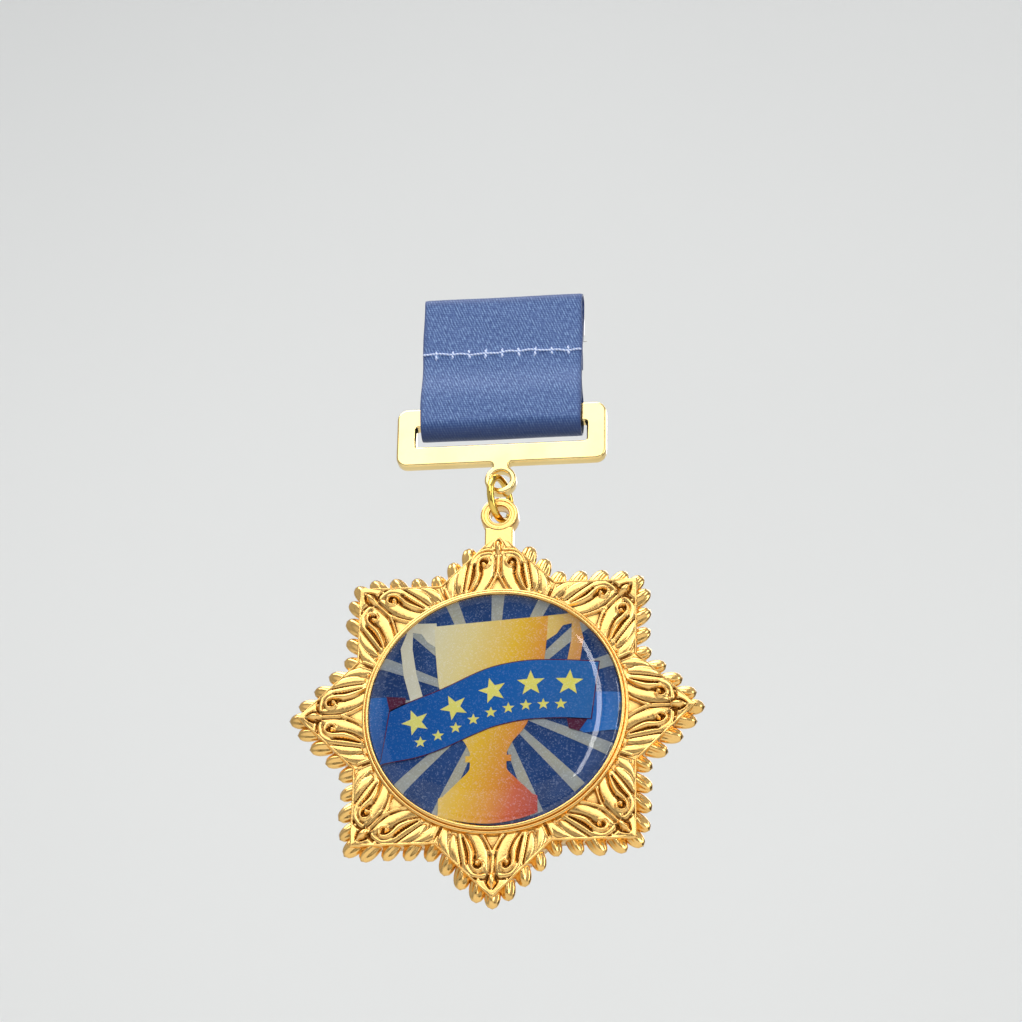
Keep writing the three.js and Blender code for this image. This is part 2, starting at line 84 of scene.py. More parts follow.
# ---------- small helpers
def linear(hexColour):
    parts = [int(hexColour[i:i + 2], 16) / 255 for i in (1, 3, 5)]
    return tuple(c / 12.92 if c <= 0.04045 else ((c + 0.055) / 1.055) ** 2.4 for c in parts) + (1.0,)


def addNode(tree, kind, settings=None, links=None):
    # a kind without a family name is a shader node; a link may name a node, which gives its first output
    family = "" if kind.startswith(("Geometry", "Function", "NodeGroup")) else "ShaderNode"
    node = tree.nodes.new(family + kind)
    for key, value in (settings or {}).items():
        if isinstance(key, int) or key[0].isupper():
            node.inputs[key].default_value = value
        else:
            setattr(node, key, value)
    for key, source in (links or {}).items():
        tree.links.new(source.outputs[0] if hasattr(source, "outputs") else source, node.inputs[key])
    return node


def newMaterial(name):
    # the material, its tree, and the object's own coordinates in metres
    material = bpy.data.materials.new(name)
    material.use_nodes = True
    tree = material.node_tree
    tree.nodes.clear()
    return material, tree, addNode(tree, "TexCoord").outputs["Object"]


def finishMaterial(material, tree, shader):
    addNode(tree, "OutputMaterial", links={"Surface": shader})
    return material


def noiseOf(tree, place, size, detail):
    # clouds of about this size, in millimetres
    return addNode(tree, "TexNoise", {"Scale": 1 / (size * mm), "Detail": detail}, {"Vector": place})


def remap(tree, value, start, end, first, last):
    limits = {"From Min": start, "From Max": end, "To Min": first, "To Max": last}
    return addNode(tree, "MapRange", limits, {"Value": value})


def bumpOf(tree, height, strength, depth):
    return addNode(tree, "Bump", {"Strength": strength, "Distance": depth * mm}, {"Height": height})


def shaderOf(tree, settings, colour, rough, bump):
    links = {"Base Color": colour, "Roughness": rough, "Normal": bump}
    return addNode(tree, "BsdfPrincipled", settings, links)


def rampOf(tree, source, stops):
    ramp = addNode(tree, "ValToRGB", links={0: source})
    elements = ramp.color_ramp.elements
    while len(elements) < len(stops):
        elements.new(0.5)
    for element, (place, colour) in zip(elements, stops):
        element.position = place
        element.color = linear(colour)
    return ramp


def addObject(name, data):
    piece = bpy.data.objects.new(name, data)
    bpy.context.scene.collection.objects.link(piece)
    return piece


def meshObject(name, points, faces, smooth=True):
    mesh = bpy.data.meshes.new(name)
    mesh.from_pydata((np.asarray(points, float) * mm).tolist(), [], faces)
    mesh.update()
    mesh.shade_smooth() if smooth else mesh.shade_flat()
    return addObject(name, mesh)


def tidyMesh(piece, sharpDegrees=None, merge=0.0005):
    # merges doubled points, turns faces outwards and marks hard edges
    work = bmesh.new()
    work.from_mesh(piece.data)
    bmesh.ops.remove_doubles(work, verts=work.verts, dist=merge * mm)
    bmesh.ops.dissolve_degenerate(work, edges=work.edges, dist=1e-8)
    bmesh.ops.recalc_face_normals(work, faces=work.faces)
    work.to_mesh(piece.data)
    work.free()
    piece.data.shade_smooth()
    if sharpDegrees:
        piece.data.set_sharp_from_angle(angle=math.radians(sharpDegrees))
    return piece


def flattenFaces(piece):
    # large faces square to Y are shaded flat, so that the rounded edges beside them do not bend their light
    for face in piece.data.polygons:
        if abs(face.normal.y) > 0.995:
            face.use_smooth = False
    return piece


def addValues(piece, name, values):
    # one number for each point, which a material reads by name
    layer = piece.data.attributes.new(name, "FLOAT", "POINT")
    layer.data.foreach_set("value", np.array(values, np.float32))
    return piece


def joinPieces(pieces, name):
    target = bmesh.new()
    for piece in pieces:
        target.from_mesh(piece.data)
    mesh = bpy.data.meshes.new(name)
    target.to_mesh(mesh)
    target.free()
    for piece in pieces:
        bpy.data.objects.remove(piece)
    return addObject(name, mesh)


def finishPiece(piece, body, material, slot, *nodes):
    piece.data.materials.clear()
    piece.data.materials.append(material)
    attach(piece, body)
    if nodes:
        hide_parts(*nodes)
    return piece


def smoothStep(low, high, value):
    t = np.clip((value - low) / (high - low), 0, 1)
    return t * t * (3 - 2 * t)


def splineThrough(controls, steps=8):
    # a Catmull-Rom line through given points, of any number of columns
    p = np.array(controls, float)
    padded = np.vstack([2 * p[0] - p[1], p, 2 * p[-1] - p[-2]])
    t = np.linspace(0, 1, steps, endpoint=False)[:, None]
    line = []
    for a, b, c, d in zip(padded, padded[1:], padded[2:], padded[3:]):
        line.append(0.5 * (2 * b + (c - a) * t + (2 * a - 5 * b + 4 * c - d) * t ** 2
                           + (3 * b - a - 3 * c + d) * t ** 3))
    return np.vstack(line + [p[-1:]])


def arcPoints(x, z, radius, fromDegrees, toDegrees, count):
    angles = np.radians(np.linspace(fromDegrees, toDegrees, count))
    return np.stack([x + radius * np.cos(angles), z + radius * np.sin(angles)], axis=1)


def roundedLoop(width, height, corner, x, z):
    left, right = x - width / 2 + corner, x + width / 2 - corner
    low, high = z - height / 2 + corner, z + height / 2 - corner
    middles = ((right, low), (right, high), (left, high), (left, low))
    return np.vstack([arcPoints(mx, mz, corner, 90 * i - 90, 90 * i, 9) for i, (mx, mz) in enumerate(middles)])


def plateFrom(name, loops, thick, middleY, bevel):
    # a plate across Y cut to closed loops of (x, z), with rounded edges
    curve = bpy.data.curves.new(name, "CURVE")
    curve.dimensions = "2D"
    curve.fill_mode = "BOTH"
    curve.extrude = (thick / 2 - bevel) * mm
    curve.bevel_depth = bevel * mm
    curve.bevel_resolution = 3
    curve.offset = -bevel * mm
    for loop in loops:
        spline = curve.splines.new("POLY")
        spline.points.add(len(loop) - 1)
        flat = np.column_stack([loop * mm, np.zeros(len(loop)), np.ones(len(loop))])
        spline.points.foreach_set("co", flat.ravel())
        spline.use_cyclic_u = True
    holder = addObject(name, curve)
    mesh = bpy.data.meshes.new_from_object(holder.evaluated_get(bpy.context.evaluated_depsgraph_get()))
    bpy.data.objects.remove(holder)
    mesh.transform(Matrix.Translation((0, middleY * mm, 0)) @ Matrix.Rotation(math.radians(90), 4, "X"))
    return flattenFaces(tidyMesh(addObject(name, mesh), sharpDegrees=35))


def turnedAboutY(name, profile, sides, x, z):
    # a closed profile of (radius, y) turned about a line along Y; a radius of 0 closes on the line
    angles = np.linspace(0, 2 * math.pi, sides, endpoint=False)
    count = len(profile)
    points = [(x + r * math.sin(a), y, z + r * math.cos(a)) for a in angles for r, y in profile]
    faces = []
    for i in range(sides):
        j = (i + 1) % sides
        for k in range(count):
            n = (k + 1) % count
            if profile[k][0] == 0 and profile[n][0] == 0:
                continue
            faces.append((i * count + k, i * count + n, j * count + n, j * count + k))
    return tidyMesh(meshObject(name, points, faces), sharpDegrees=40)


def sweptTube(name, line, radii, sides=16):
    # a round tube along 3-D points; the ends are closed with a rounded cap
    line = np.array(line, float)
    radii = np.broadcast_to(np.array(radii, float), (len(line),)).copy()
    along = np.gradient(line, axis=0)
    along /= np.linalg.norm(along, axis=1)[:, None]
    side = np.cross(along[0], [0.0, 1.0, 0.0])
    if np.linalg.norm(side) < 0.1:
        side = np.cross(along[0], [1.0, 0.0, 0.0])
    rings = []
    angles = np.linspace(0, 2 * math.pi, sides, endpoint=False)[:, None]
    for point, direction, radius in zip(line, along, radii):
        side = side - direction * side.dot(direction)
        side /= np.linalg.norm(side)
        up = np.cross(direction, side)
        rings.append(point + radius * (np.cos(angles) * side + np.sin(angles) * up))
    count = len(rings)
    points = list(np.vstack(rings))
    faces = []
    for i in range(count - 1):
        for k in range(sides):
            n = (k + 1) % sides
            faces.append((i * sides + k, i * sides + n, (i + 1) * sides + n, (i + 1) * sides + k))
    for ring, sign in ((0, -1), (count - 1, 1)):
        points.append(line[ring] + sign * along[ring] * radii[ring] * 0.6)
        tip = len(points) - 1
        faces += [(ring * sides + k, ring * sides + (k + 1) % sides, tip) for k in range(sides)]
    return tidyMesh(meshObject(name, points, faces))


# ---------- one seed shape on many points
def newTree(name, inputs):
    tree = bpy.data.node_groups.new(name, "GeometryNodeTree")
    tree.interface.new_socket("Geometry", in_out="INPUT", socket_type="NodeSocketGeometry")
    for label, (kind, value) in inputs.items():
        socket = tree.interface.new_socket(label, in_out="INPUT", socket_type="NodeSocket" + kind)
        if value is not None:
            socket.default_value = value
    tree.interface.new_socket("Geometry", in_out="OUTPUT", socket_type="NodeSocketGeometry")
    return tree, addNode(tree, "NodeGroupInput").outputs


def scatterTree(name):
    # puts the seed shape on every point, turned as the point says and scaled a little at random
    tree, given = newTree(name, {
        "Seed shape": ("Object", None),
        "Width": ("Float", 1.0),
        "Height": ("Float", 1.0),
        "Length": ("Float", 1.0),
        "Unevenness": ("Float", 0.05),
        "Random seed": ("Int", 7),
        "Finish": ("Material", None),
    })
    seed = addNode(tree, "GeometryNodeObjectInfo", links={"Object": given["Seed shape"]})
    turn = addNode(tree, "GeometryNodeInputNamedAttribute", {"data_type": "FLOAT_VECTOR", "Name": "turn"})
    low = addNode(tree, "Math", {"operation": "SUBTRACT", 0: 1.0}, {1: given["Unevenness"]})
    high = addNode(tree, "Math", {"operation": "ADD", 0: 1.0}, {1: given["Unevenness"]})
    chance = addNode(tree, "FunctionNodeRandomValue", {"data_type": "FLOAT"}, {"Seed": given["Random seed"]})
    floats = [s for s in chance.inputs if s.type == "VALUE" and s.name in ("Min", "Max")]
    tree.links.new(low.outputs[0], floats[0])
    tree.links.new(high.outputs[0], floats[1])
    sides = {"X": given["Width"], "Y": given["Height"], "Z": given["Length"]}
    size = addNode(tree, "CombineXYZ", links=sides)
    random = next(s for s in chance.outputs if s.type == "VALUE")
    scale = addNode(tree, "VectorMath", {"operation": "SCALE"}, {0: size, "Scale": random})
    placed = addNode(tree, "GeometryNodeInstanceOnPoints", links={
        "Points": given["Geometry"], "Instance": seed.outputs["Geometry"],
        "Rotation": turn.outputs["Attribute"], "Scale": scale})
    real = addNode(tree, "GeometryNodeRealizeInstances", links={0: placed})
    dressed = addNode(tree, "GeometryNodeSetMaterial", links={"Geometry": real, "Material": given["Finish"]})
    addNode(tree, "NodeGroupOutput", links={0: dressed})
    return tree


def grow(name, points, turns, tree, values):
    # runs the tree on points, each with a turn in radians about X, Y and Z, and keeps a plain mesh
    source = meshObject(name + "Points", points, [])
    turnData = source.data.attributes.new("turn", "FLOAT_VECTOR", "POINT")
    turnData.data.foreach_set("vector", np.array(turns, np.float32).ravel())
    modifier = source.modifiers.new("grow", "NODES")
    modifier.node_group = tree
    sockets = {item.name: item.identifier for item in tree.interface.items_tree if item.in_out == "INPUT"}
    for label, value in values.items():
        modifier[sockets[label]] = value
    bpy.context.view_layer.update()
    graph = bpy.context.evaluated_depsgraph_get()
    mesh = bpy.data.meshes.new_from_object(source.evaluated_get(graph), preserve_all_data_layers=True,
                                           depsgraph=graph)
    mesh.name = name
    bpy.data.objects.remove(source)
    return addObject(name, mesh)


# ---------- materials
def giltMaterial(name, light, deep, roughness, grain, cavity=False):
    # gold plate over cast zinc alloy: a warm mirror broken by casting grain, darker in random clouds of
    # plating; with cavity, painted shade darkens the relief's hollows
    material, tree, place = newMaterial(name)
    cloud = noiseOf(tree, place, 6, 3.0)
    if cavity:  # painted shade in the relief's hollows, with the plating's darker tone there, a little unevenly
        hollow = addNode(tree, "Attribute", {"attribute_name": "relief"})
        uneven = addNode(tree, "Math", {"operation": "MULTIPLY_ADD", 1: -0.34},
                         {0: cloud, 2: hollow.outputs["Fac"]})
        shade = remap(tree, uneven, -0.04, 0.33, 1.0, 0.0)
    else:
        shade = remap(tree, cloud, 0.4, 0.9, 0.0, 0.5)
    tint = addNode(tree, "Mix", {"data_type": "RGBA", 6: linear(light), 7: linear(deep)}, {0: shade})
    fine = noiseOf(tree, place, 0.35, 4.0)
    rough = remap(tree, fine, 0.3, 0.7, roughness * 0.75, roughness * 1.35)
    shader = shaderOf(tree, {"Metallic": 1.0}, tint.outputs[2], rough, bumpOf(tree, fine, grain, 0.03))
    return finishMaterial(material, tree, shader)


def satinMaterial():
    # satin woven polyester: fine slanting floats that catch the light in short broken lines
    material, tree = newMaterial("Satin woven polyester")[:2]
    cloth = addNode(tree, "UVMap", {"uv_map": "weave"})  # one weave unit is a millimetre
    # the floats lean from upper left to lower right
    lean = addNode(tree, "Mapping", {"Rotation": (0, 0, math.radians(-22))}, {0: cloth})
    stretched = addNode(tree, "Mapping", {"Scale": (4.6, 1.3, 1)}, {0: lean})
    floats = addNode(tree, "TexNoise", {"Scale": 1.0, "Detail": 2.0, "Roughness": 0.6}, {"Vector": stretched})
    twill = addNode(tree, "TexWave", {"Scale": 0.75, "Distortion": 1.2, "Detail": 1.0, "Detail Scale": 2.0},
                    {"Vector": lean})
    weft = addNode(tree, "TexWave", {"bands_direction": "Y", "Scale": 0.9, "Distortion": 0.4},
                   {"Vector": cloth})
    both = addNode(tree, "Math", {"operation": "MULTIPLY_ADD", 1: 0.22}, {0: twill.outputs[1], 2: floats})
    pattern = addNode(tree, "Math", {"operation": "MULTIPLY_ADD", 1: 0.12}, {0: weft.outputs[1], 2: both})
    # painted highlight: the weave pattern is painted lighter where its floats would catch the light
    colour = rampOf(tree, pattern, [(0.4, "#233f74"), (0.66, "#34528a"), (0.95, "#7190bc")])
    # darker at the selvedges, and painted shade near the top fold and the fold round the rail
    edge = addNode(tree, "Attribute", {"attribute_name": "selvedgeAndFoldShade"})
    dark = addNode(tree, "Mix", {"data_type": "RGBA", 7: linear("#22396c")},
                   {0: edge.outputs["Fac"], 6: colour})
    rough = remap(tree, pattern, 0.4, 1.0, 0.62, 0.4)
    shader = shaderOf(tree, {"Sheen Weight": 0.22, "Sheen Roughness": 0.4, "Specular IOR Level": 0.4},
                      dark.outputs[2], rough, bumpOf(tree, pattern, 0.6, 0.06))
    return finishMaterial(material, tree, shader)


def threadMaterial():
    # twisted polyester sewing thread: two plies show as slanting ridges with a soft gloss
    material, tree, place = newMaterial("Twisted polyester thread")
    turned = addNode(tree, "Mapping", {"Rotation": (0, math.radians(38), 0)}, {0: place})
    wave = addNode(tree, "TexWave", {"Scale": 1 / (1.3 * mm), "Distortion": 0.6}, {"Vector": turned})
    ply = wave.outputs[1]
    colour = rampOf(tree, ply, [(0.1, "#8c9fce"), (0.8, "#ccd6ee")])
    shader = addNode(tree, "BsdfPrincipled", {"Roughness": 0.5, "Sheen Weight": 0.2},
                     {"Base Color": colour, "Normal": bumpOf(tree, ply, 0.5, 0.04)})
    return finishMaterial(material, tree, shader)


def foilMaterial(name, stops, across, glitter):
    # ink screen-printed on glitter foil: flat colour, with a fine sparkle of flakes painted in as lighter
    # specks, partly their own pale tone and partly painted glint
    material, tree, place = newMaterial(name)
    slope = -0.32  # a printed shade changes along the picture's width, on this slant
    if across:
        slant = addNode(tree, "VectorMath", {"operation": "DOT_PRODUCT", 1: (1, 0, slope)}, {0: place})
        low, high = ((edge + slope * starZ) * mm for edge in across)
        share = remap(tree, slant.outputs["Value"], low, high, 0.0, 1.0)
        colour = rampOf(tree, share, stops)
    else:
        colour = rampOf(tree, noiseOf(tree, place, 9, 2.0), stops)
    flakes = addNode(tree, "TexVoronoi", {"feature": "F1", "Scale": 1 / (0.17 * mm)}, {"Vector": place})
    single = addNode(tree, "SeparateColor", links={0: flakes.outputs["Color"]})
    sparkle = remap(tree, single, 0.72, 1.0, 0.0, glitter)
    # painted glint: lighter specks on some flakes, partly their own pale tone
    lit = addNode(tree, "Mix", {"data_type": "RGBA", "blend_type": "SCREEN", 7: linear("#b9c4d6")},
                  {0: sparkle, 6: colour})
    dull = remap(tree, single.outputs[1], 0.0, 1.0, 0.6, 0.35)
    bump = bumpOf(tree, flakes.outputs["Distance"], 0.25, 0.02)
    shader = shaderOf(tree, {"Specular IOR Level": 0.06}, lit.outputs[2], dull, bump)
    return finishMaterial(material, tree, shader)


def epoxyMaterial():
    # clear two-part epoxy poured as a dome: water-clear, glossy, with a few faint ripples
    material, tree, place = newMaterial("Clear domed epoxy resin")
    ripple = noiseOf(tree, place, 9, 1.0)
    rough = remap(tree, ripple, 0.0, 1.0, 0.015, 0.045)
    resin = addNode(tree, "BsdfPrincipled",
                    {"Base Color": linear("#fbfcff"), "IOR": 1.5, "Transmission Weight": 1.0},
                    {"Roughness": rough, "Normal": bumpOf(tree, ripple, 0.12, 0.3)})
    clear = addNode(tree, "BsdfTransparent", {"Color": linear("#f6f8fb")})
    path = addNode(tree, "LightPath")
    shader = addNode(tree, "MixShader", links={0: path.outputs["Is Shadow Ray"], 1: resin, 2: clear})
    return finishMaterial(material, tree, shader)


def steelMaterial():
    # nickel-plated steel pressing: cool grey, fine drawing lines, slightly dulled
    material, tree, place = newMaterial("Nickel-plated steel")
    drawn = addNode(tree, "Mapping", {"Scale": (0.15, 1, 1)}, {0: place})
    lines = noiseOf(tree, drawn, 0.12, 3.0)
    colour = rampOf(tree, lines, [(0.3, "#a9a9a6"), (0.7, "#d2d1cc")])
    rough = remap(tree, lines, 0.0, 1.0, 0.2, 0.42)
    shader = shaderOf(tree, {"Metallic": 1.0}, colour, rough, bumpOf(tree, lines, 0.15, 0.02))
    return finishMaterial(material, tree, shader)


def paperMaterial(name, scale, detail, low, high, roughness):
    material, tree, place = newMaterial(name)
    cloud = addNode(tree, "TexNoise", {"Scale": scale, "Detail": detail}, {"Vector": place})
    colour = rampOf(tree, cloud, [(0.3, low), (0.7, high)])
    return finishMaterial(material, tree, addNode(tree, "BsdfPrincipled", {"Roughness": roughness},
                                                  {"Base Color": colour}))


buckleGilt = giltMaterial("Polished gold plate on zinc alloy", "#f8dc98", "#e6bf68", 0.14, 0.07)
# its deep colour is the painted shade in the star's hollows
castGilt = giltMaterial("Cast gold plate on zinc alloy", "#f4c678", "#7a4a18", 0.2, 0.34, cavity=True)
wireGilt = giltMaterial("Gold-plated brass wire", "#ecc862", "#c4942f", 0.16, 0.12)
satin = satinMaterial()
thread = threadMaterial()
epoxy = epoxyMaterial()
steel = steelMaterial()
paper = paperMaterial("Matt studio paper", 2.0, 2.0, "#e4e4e2", "#e8e8e6", 0.9)
felt = paperMaterial("Black felt card", 60.0, 2.0, "#241d17", "#302820", 0.95)
print("materials made")


# ---------- ribbon
ribbonSizes = {
    "thick": 0.42,  # a doubled hem of satin, as it looks at the edge
    "solidThick": 0.5,  # of the frame's ribbon, whose middle line this one follows
    "layerGap": 0.1,
    "topFoldRadius": 1.25,
    "seamDrop": 10.7,
    "seamFlat": 1.2,
    "lapLength": 3.0,
    "loopStraight": 1.2,
    "foldRaise": 0.9,  # the worn cloth sits closer round the rail than the frame's loop
    "plateFoot": -2.7,  # the cloth stays flat to here behind the brooch
    "acrossSteps": 72,
    "alongStep": 0.33,
    "pucker": 0.1,  # how far the cloth rises beside each stitch
    "puckerReach": 0.55,
    "wave": 0.05,
    "sway": 0.06,  # the selvedges are not quite straight
    # width of the darker selvedge band, in the mark that also carries painted shade near the folds
    "selvedgeAndFoldShade": 0.55,
    "edgeThin": 0.3,
    # painted shade: the strip is painted darker near its top fold and near its fold round the rail
    "topShade": 0.75, "topShadeReach": 2.2,
    "foldShade": 0.85, "foldShadeReach": 2.6,
}
stitchSizes = {"thread": 0.17, "pitch": 2.6, "tickHeight": 1.25, "tickWidth": 0.46, "tickDepth": 0.28,
               "lift": 0.2, "wander": 0.16}
seamZ = ribbonHigh[2] - ribbonSizes["seamDrop"]
ribbonLayer = ribbonSizes["solidThick"] + ribbonSizes["layerGap"]


def ribbonLine():
    # depth and height of the strip's middle: from its inner end round the rail, up the front, down the back
    s = ribbonSizes
    half = s["solidThick"] / 2
    innerY, frontY = hangY - ribbonLayer, hangY - 2 * ribbonLayer
    loopRadius = (ribbonHigh[1] - ribbonLow[1]) / 2 - half
    foldZ = ribbonLow[2] + half + loopRadius + s["foldRaise"]
    swellZ = railZ + s["loopStraight"]
    topZ = ribbonHigh[2] - half - s["topFoldRadius"]
    lapEnd = seamZ - s["lapLength"]

    def ease(start, end):
        middle = (start[1] + end[1]) / 2
        t = np.linspace(0, 1, 20)[:, None]
        a, b, c, d = (np.array(p) for p in (start, (start[0], middle), (end[0], middle), end))
        return (1 - t) ** 3 * a + 3 * (1 - t) ** 2 * t * b + 3 * (1 - t) * t ** 2 * c + t ** 3 * d

    def turn(radius, z, fromDegrees, toDegrees, count):
        return arcPoints(hangY, z, radius, fromDegrees, toDegrees, count)

    def straight(start, end, count=8):
        return np.linspace(start, end, count)

    fold = s["topFoldRadius"]
    plate = (hangY + fold, s["plateFoot"])
    line = np.vstack([
        straight((innerY, seamZ + s["lapLength"]), (innerY, lapEnd - s["solidThick"]), 10),
        ease((innerY, lapEnd - s["solidThick"]), (hangY + loopRadius, swellZ)),
        straight((hangY + loopRadius, swellZ), (hangY + loopRadius, foldZ)),
        turn(loopRadius, foldZ, 0, -180, 28),
        straight((hangY - loopRadius, foldZ), (hangY - loopRadius, swellZ)),
        ease((hangY - loopRadius, swellZ), (frontY, seamZ - s["seamFlat"])),
        straight((frontY, seamZ - s["seamFlat"]), (frontY, seamZ + s["seamFlat"]), 12),
        ease((frontY, seamZ + s["seamFlat"]), (hangY - fold, topZ)),
        turn(fold, topZ, 180, 0, 22),
        straight((hangY + fold, topZ), plate),
        ease(plate, (hangY, seamZ + s["seamFlat"])),
        straight((hangY, seamZ + s["seamFlat"]), (hangY, lapEnd), 16),
    ])
    keep = np.concatenate([[True], np.linalg.norm(np.diff(line, axis=0), axis=1) > 1e-6])
    return line[keep]


def evenly(line, step):
    along = np.concatenate([[0], np.cumsum(np.linalg.norm(np.diff(line, axis=0), axis=1))])
    at = np.linspace(0, along[-1], int(along[-1] / step) + 1)
    return np.stack([np.interp(at, along, line[:, k]) for k in range(line.shape[1])], axis=1), at


def makeRibbon():
    s = ribbonSizes
    line, along = evenly(ribbonLine(), s["alongStep"])
    tangent = np.gradient(line, axis=0)
    tangent /= np.linalg.norm(tangent, axis=1)[:, None]
    normal = np.stack([-tangent[:, 1], tangent[:, 0]], axis=1)  # out of the loop in front
    width = ribbonHigh[0] - ribbonLow[0]
    count, across = len(line), s["acrossSteps"]
    x = np.linspace(-width / 2, width / 2, across + 1)
    edge = smoothStep(width / 2 - s["selvedgeAndFoldShade"], width / 2, np.abs(x))
    front = line[:, 0] < hangY - ribbonLayer * 1.5
    seamFall = np.exp(-((line[:, 1] - seamZ) / s["puckerReach"]) ** 2) * front
    dimple = 0.65 + 0.35 * np.cos(2 * math.pi * x / stitchSizes["pitch"])
    # painted shade near the top fold and the fold round the rail
    topEnd, lowEnd = ribbonHigh[2] - s["topShadeReach"], ribbonLow[2] + s["foldRaise"] + s["foldShadeReach"]
    shaded = (s["topShade"] * smoothStep(topEnd, ribbonHigh[2] - 0.4, line[:, 1])
              + s["foldShade"] * smoothStep(lowEnd, lowEnd - 1.9, line[:, 1]))
    wave = s["wave"] * np.sin(along[:, None] * 0.8 + x[None, :] * 0.35)
    points, uvs, selvedgeAndFoldShade = [], [], []
    for sign in (1, -1):
        for i in range(count):
            out = sign * s["thick"] / 2 * (1 - s["edgeThin"] * edge) + 0.5 * wave[i]
            if front[i]:
                out = out + s["pucker"] * seamFall[i] * dimple
            sway = s["sway"] * math.sin(along[i] * 0.55) * np.sign(x) * edge
            for k in range(across + 1):
                points.append((x[k] + sway[k], *(line[i] + normal[i] * out[k])))
                uvs.append((x[k], along[i]))
                # one mark for the darker selvedges and the painted shade near the folds
                selvedgeAndFoldShade.append(max(edge[k], shaded[i]))
    row = across + 1
    size = count * row
    faces = []
    for i in range(count - 1):
        for k in range(across):
            a = i * row + k
            faces.append((a, a + 1, a + row + 1, a + row))
            b = size + a
            faces.append((b, b + row, b + row + 1, b + 1))
    for i in range(count - 1):  # the two selvedges
        for k in (0, across):
            a = i * row + k
            faces.append((a, a + row, size + a + row, size + a))
    for i in (0, count - 1):  # the cut ends
        for k in range(across):
            a = i * row + k
            faces.append((a, size + a, size + a + 1, a + 1))
    piece = meshObject("satin_ribbon", points, faces)
    layer = piece.data.uv_layers.new(name="weave")
    loops = np.zeros(len(piece.data.loops), np.int32)
    piece.data.loops.foreach_get("vertex_index", loops)
    layer.data.foreach_set("uv", np.array(uvs, np.float32)[loops].ravel())
    tidyMesh(addValues(piece, "selvedgeAndFoldShade", selvedgeAndFoldShade), sharpDegrees=60)
    finishPiece(piece, "ribbon", satin, "ribbon_fabric", "ribbon")
    length = float(along[-1])
    return length


def threadAcross(name, y, z, wander):
    s = stitchSizes
    half = (ribbonHigh[0] - ribbonLow[0]) / 2 - 0.1
    x = np.linspace(-half, half, 90)
    lift = s["lift"] * (0.35 + 0.65 * np.sin(math.pi * x / s["pitch"]) ** 2)
    out = -1 if y < hangY else 1
    wandering = z + wander * np.sin(x * 0.42) + 0.5 * wander * np.sin(x * 1.7)
    line = np.stack([x, y + out * (lift - 0.02), wandering], axis=1)
    return sweptTube(name, line, s["thread"], sides=8)


def makeSeams():
    s = stitchSizes
    frontY = hangY - 2 * ribbonLayer - ribbonSizes["thick"] / 2 + ribbonSizes["pucker"] * 0.6
    backY = hangY + ribbonSizes["thick"] / 2
    capsule = sweptTube("tickSeed", [(0, 0, z) for z in np.linspace(-0.5, 0.5, 7)],
                        [0.3, 0.48, 0.4, 0.3, 0.4, 0.48, 0.3], sides=8)
    tree = scatterTree("Stitch ticks")
    count = int((ribbonHigh[0] - ribbonLow[0]) / s["pitch"])
    places = [((i - (count - 1) / 2) * s["pitch"], frontY - 0.07, seamZ - 0.1) for i in range(count)]
    turns = [(0, 0.12 * math.sin(i * 2.3), 0) for i in range(count)]
    ticks = grow("seam_ticks", places, turns, tree, {
        "Seed shape": capsule, "Width": s["tickWidth"], "Height": s["tickDepth"], "Length": s["tickHeight"],
        "Unevenness": 0.16, "Random seed": 11, "Finish": thread})
    bpy.data.objects.remove(capsule)
    line = threadAcross("seamLine", frontY, seamZ, s["wander"])
    seam = joinPieces([line, ticks], "seam_stitches")
    finishPiece(seam, "ribbon", thread, "sewing_thread", "seam_thread")
    back = threadAcross("bobbin_stitches", backY, seamZ, s["wander"] * 0.6)
    finishPiece(back, "ribbon", thread, "sewing_thread", "seam_bobbin_thread")


ribbonLength = makeRibbon()
makeSeams()
print("ribbon and seams made, strip", round(ribbonLength, 1), "mm long")


# ---------- buckle
buckleSizes = {"rail": 3.3, "column": 3.0, "window": 3.4, "corner": 1.7, "windowCorner": 0.35,
               "edgeRound": 0.3, "lugOuter": 2.43, "lugHole": 1.5, "fillet": 0.55, "thick": 1.8}


def makeBuckle():
    s = buckleSizes
    left, right = buckleLow[0], buckleHigh[0]
    top = buckleHigh[2]
    bottom = top - 2 * s["rail"] - s["window"]
    lugZ = buckleLow[2] + s["lugOuter"]
    c, f, r = s["corner"], s["fillet"], s["lugOuter"]
    drop = bottom - lugZ
    fx = math.sqrt((r + f) ** 2 - (drop - f) ** 2)  # middle of the fillet beside the lug
    meet = math.degrees(math.atan2(drop - f, fx))  # where the lug's round starts
    outer = np.vstack([
        arcPoints(right - c, bottom + c, c, -90, 0, 9),
        arcPoints(right - c, top - c, c, 0, 90, 9),
        arcPoints(left + c, top - c, c, 90, 180, 9),
        arcPoints(left + c, bottom + c, c, 180, 270, 9),
        arcPoints(-fx, bottom - f, f, 90, -meet, 7)[:-1],
        arcPoints(0, lugZ, r, 180 - meet, 360 + meet, 49),
        arcPoints(fx, bottom - f, f, 180 + meet, 90, 7)[1:],
    ])
    windowZ = bottom + s["rail"] + s["window"] / 2
    window = roundedLoop(right - left - 2 * s["column"], s["window"], s["windowCorner"], 0, windowZ)
    hole = arcPoints(0, lugZ, s["lugHole"], 0, 360, 41)[:-1]
    piece = plateFrom("gilt_buckle", [outer, window, hole], s["thick"], hangY, s["edgeRound"])
    finishPiece(piece, "buckle", buckleGilt, "gold_plate", "buckle")


makeBuckle()
print("buckle made")


# ---------- jump ring
ringSizes = {"radius": 3.4, "wire": 0.56, "lean": 20, "cut": 0.15, "endShare": 0.86}


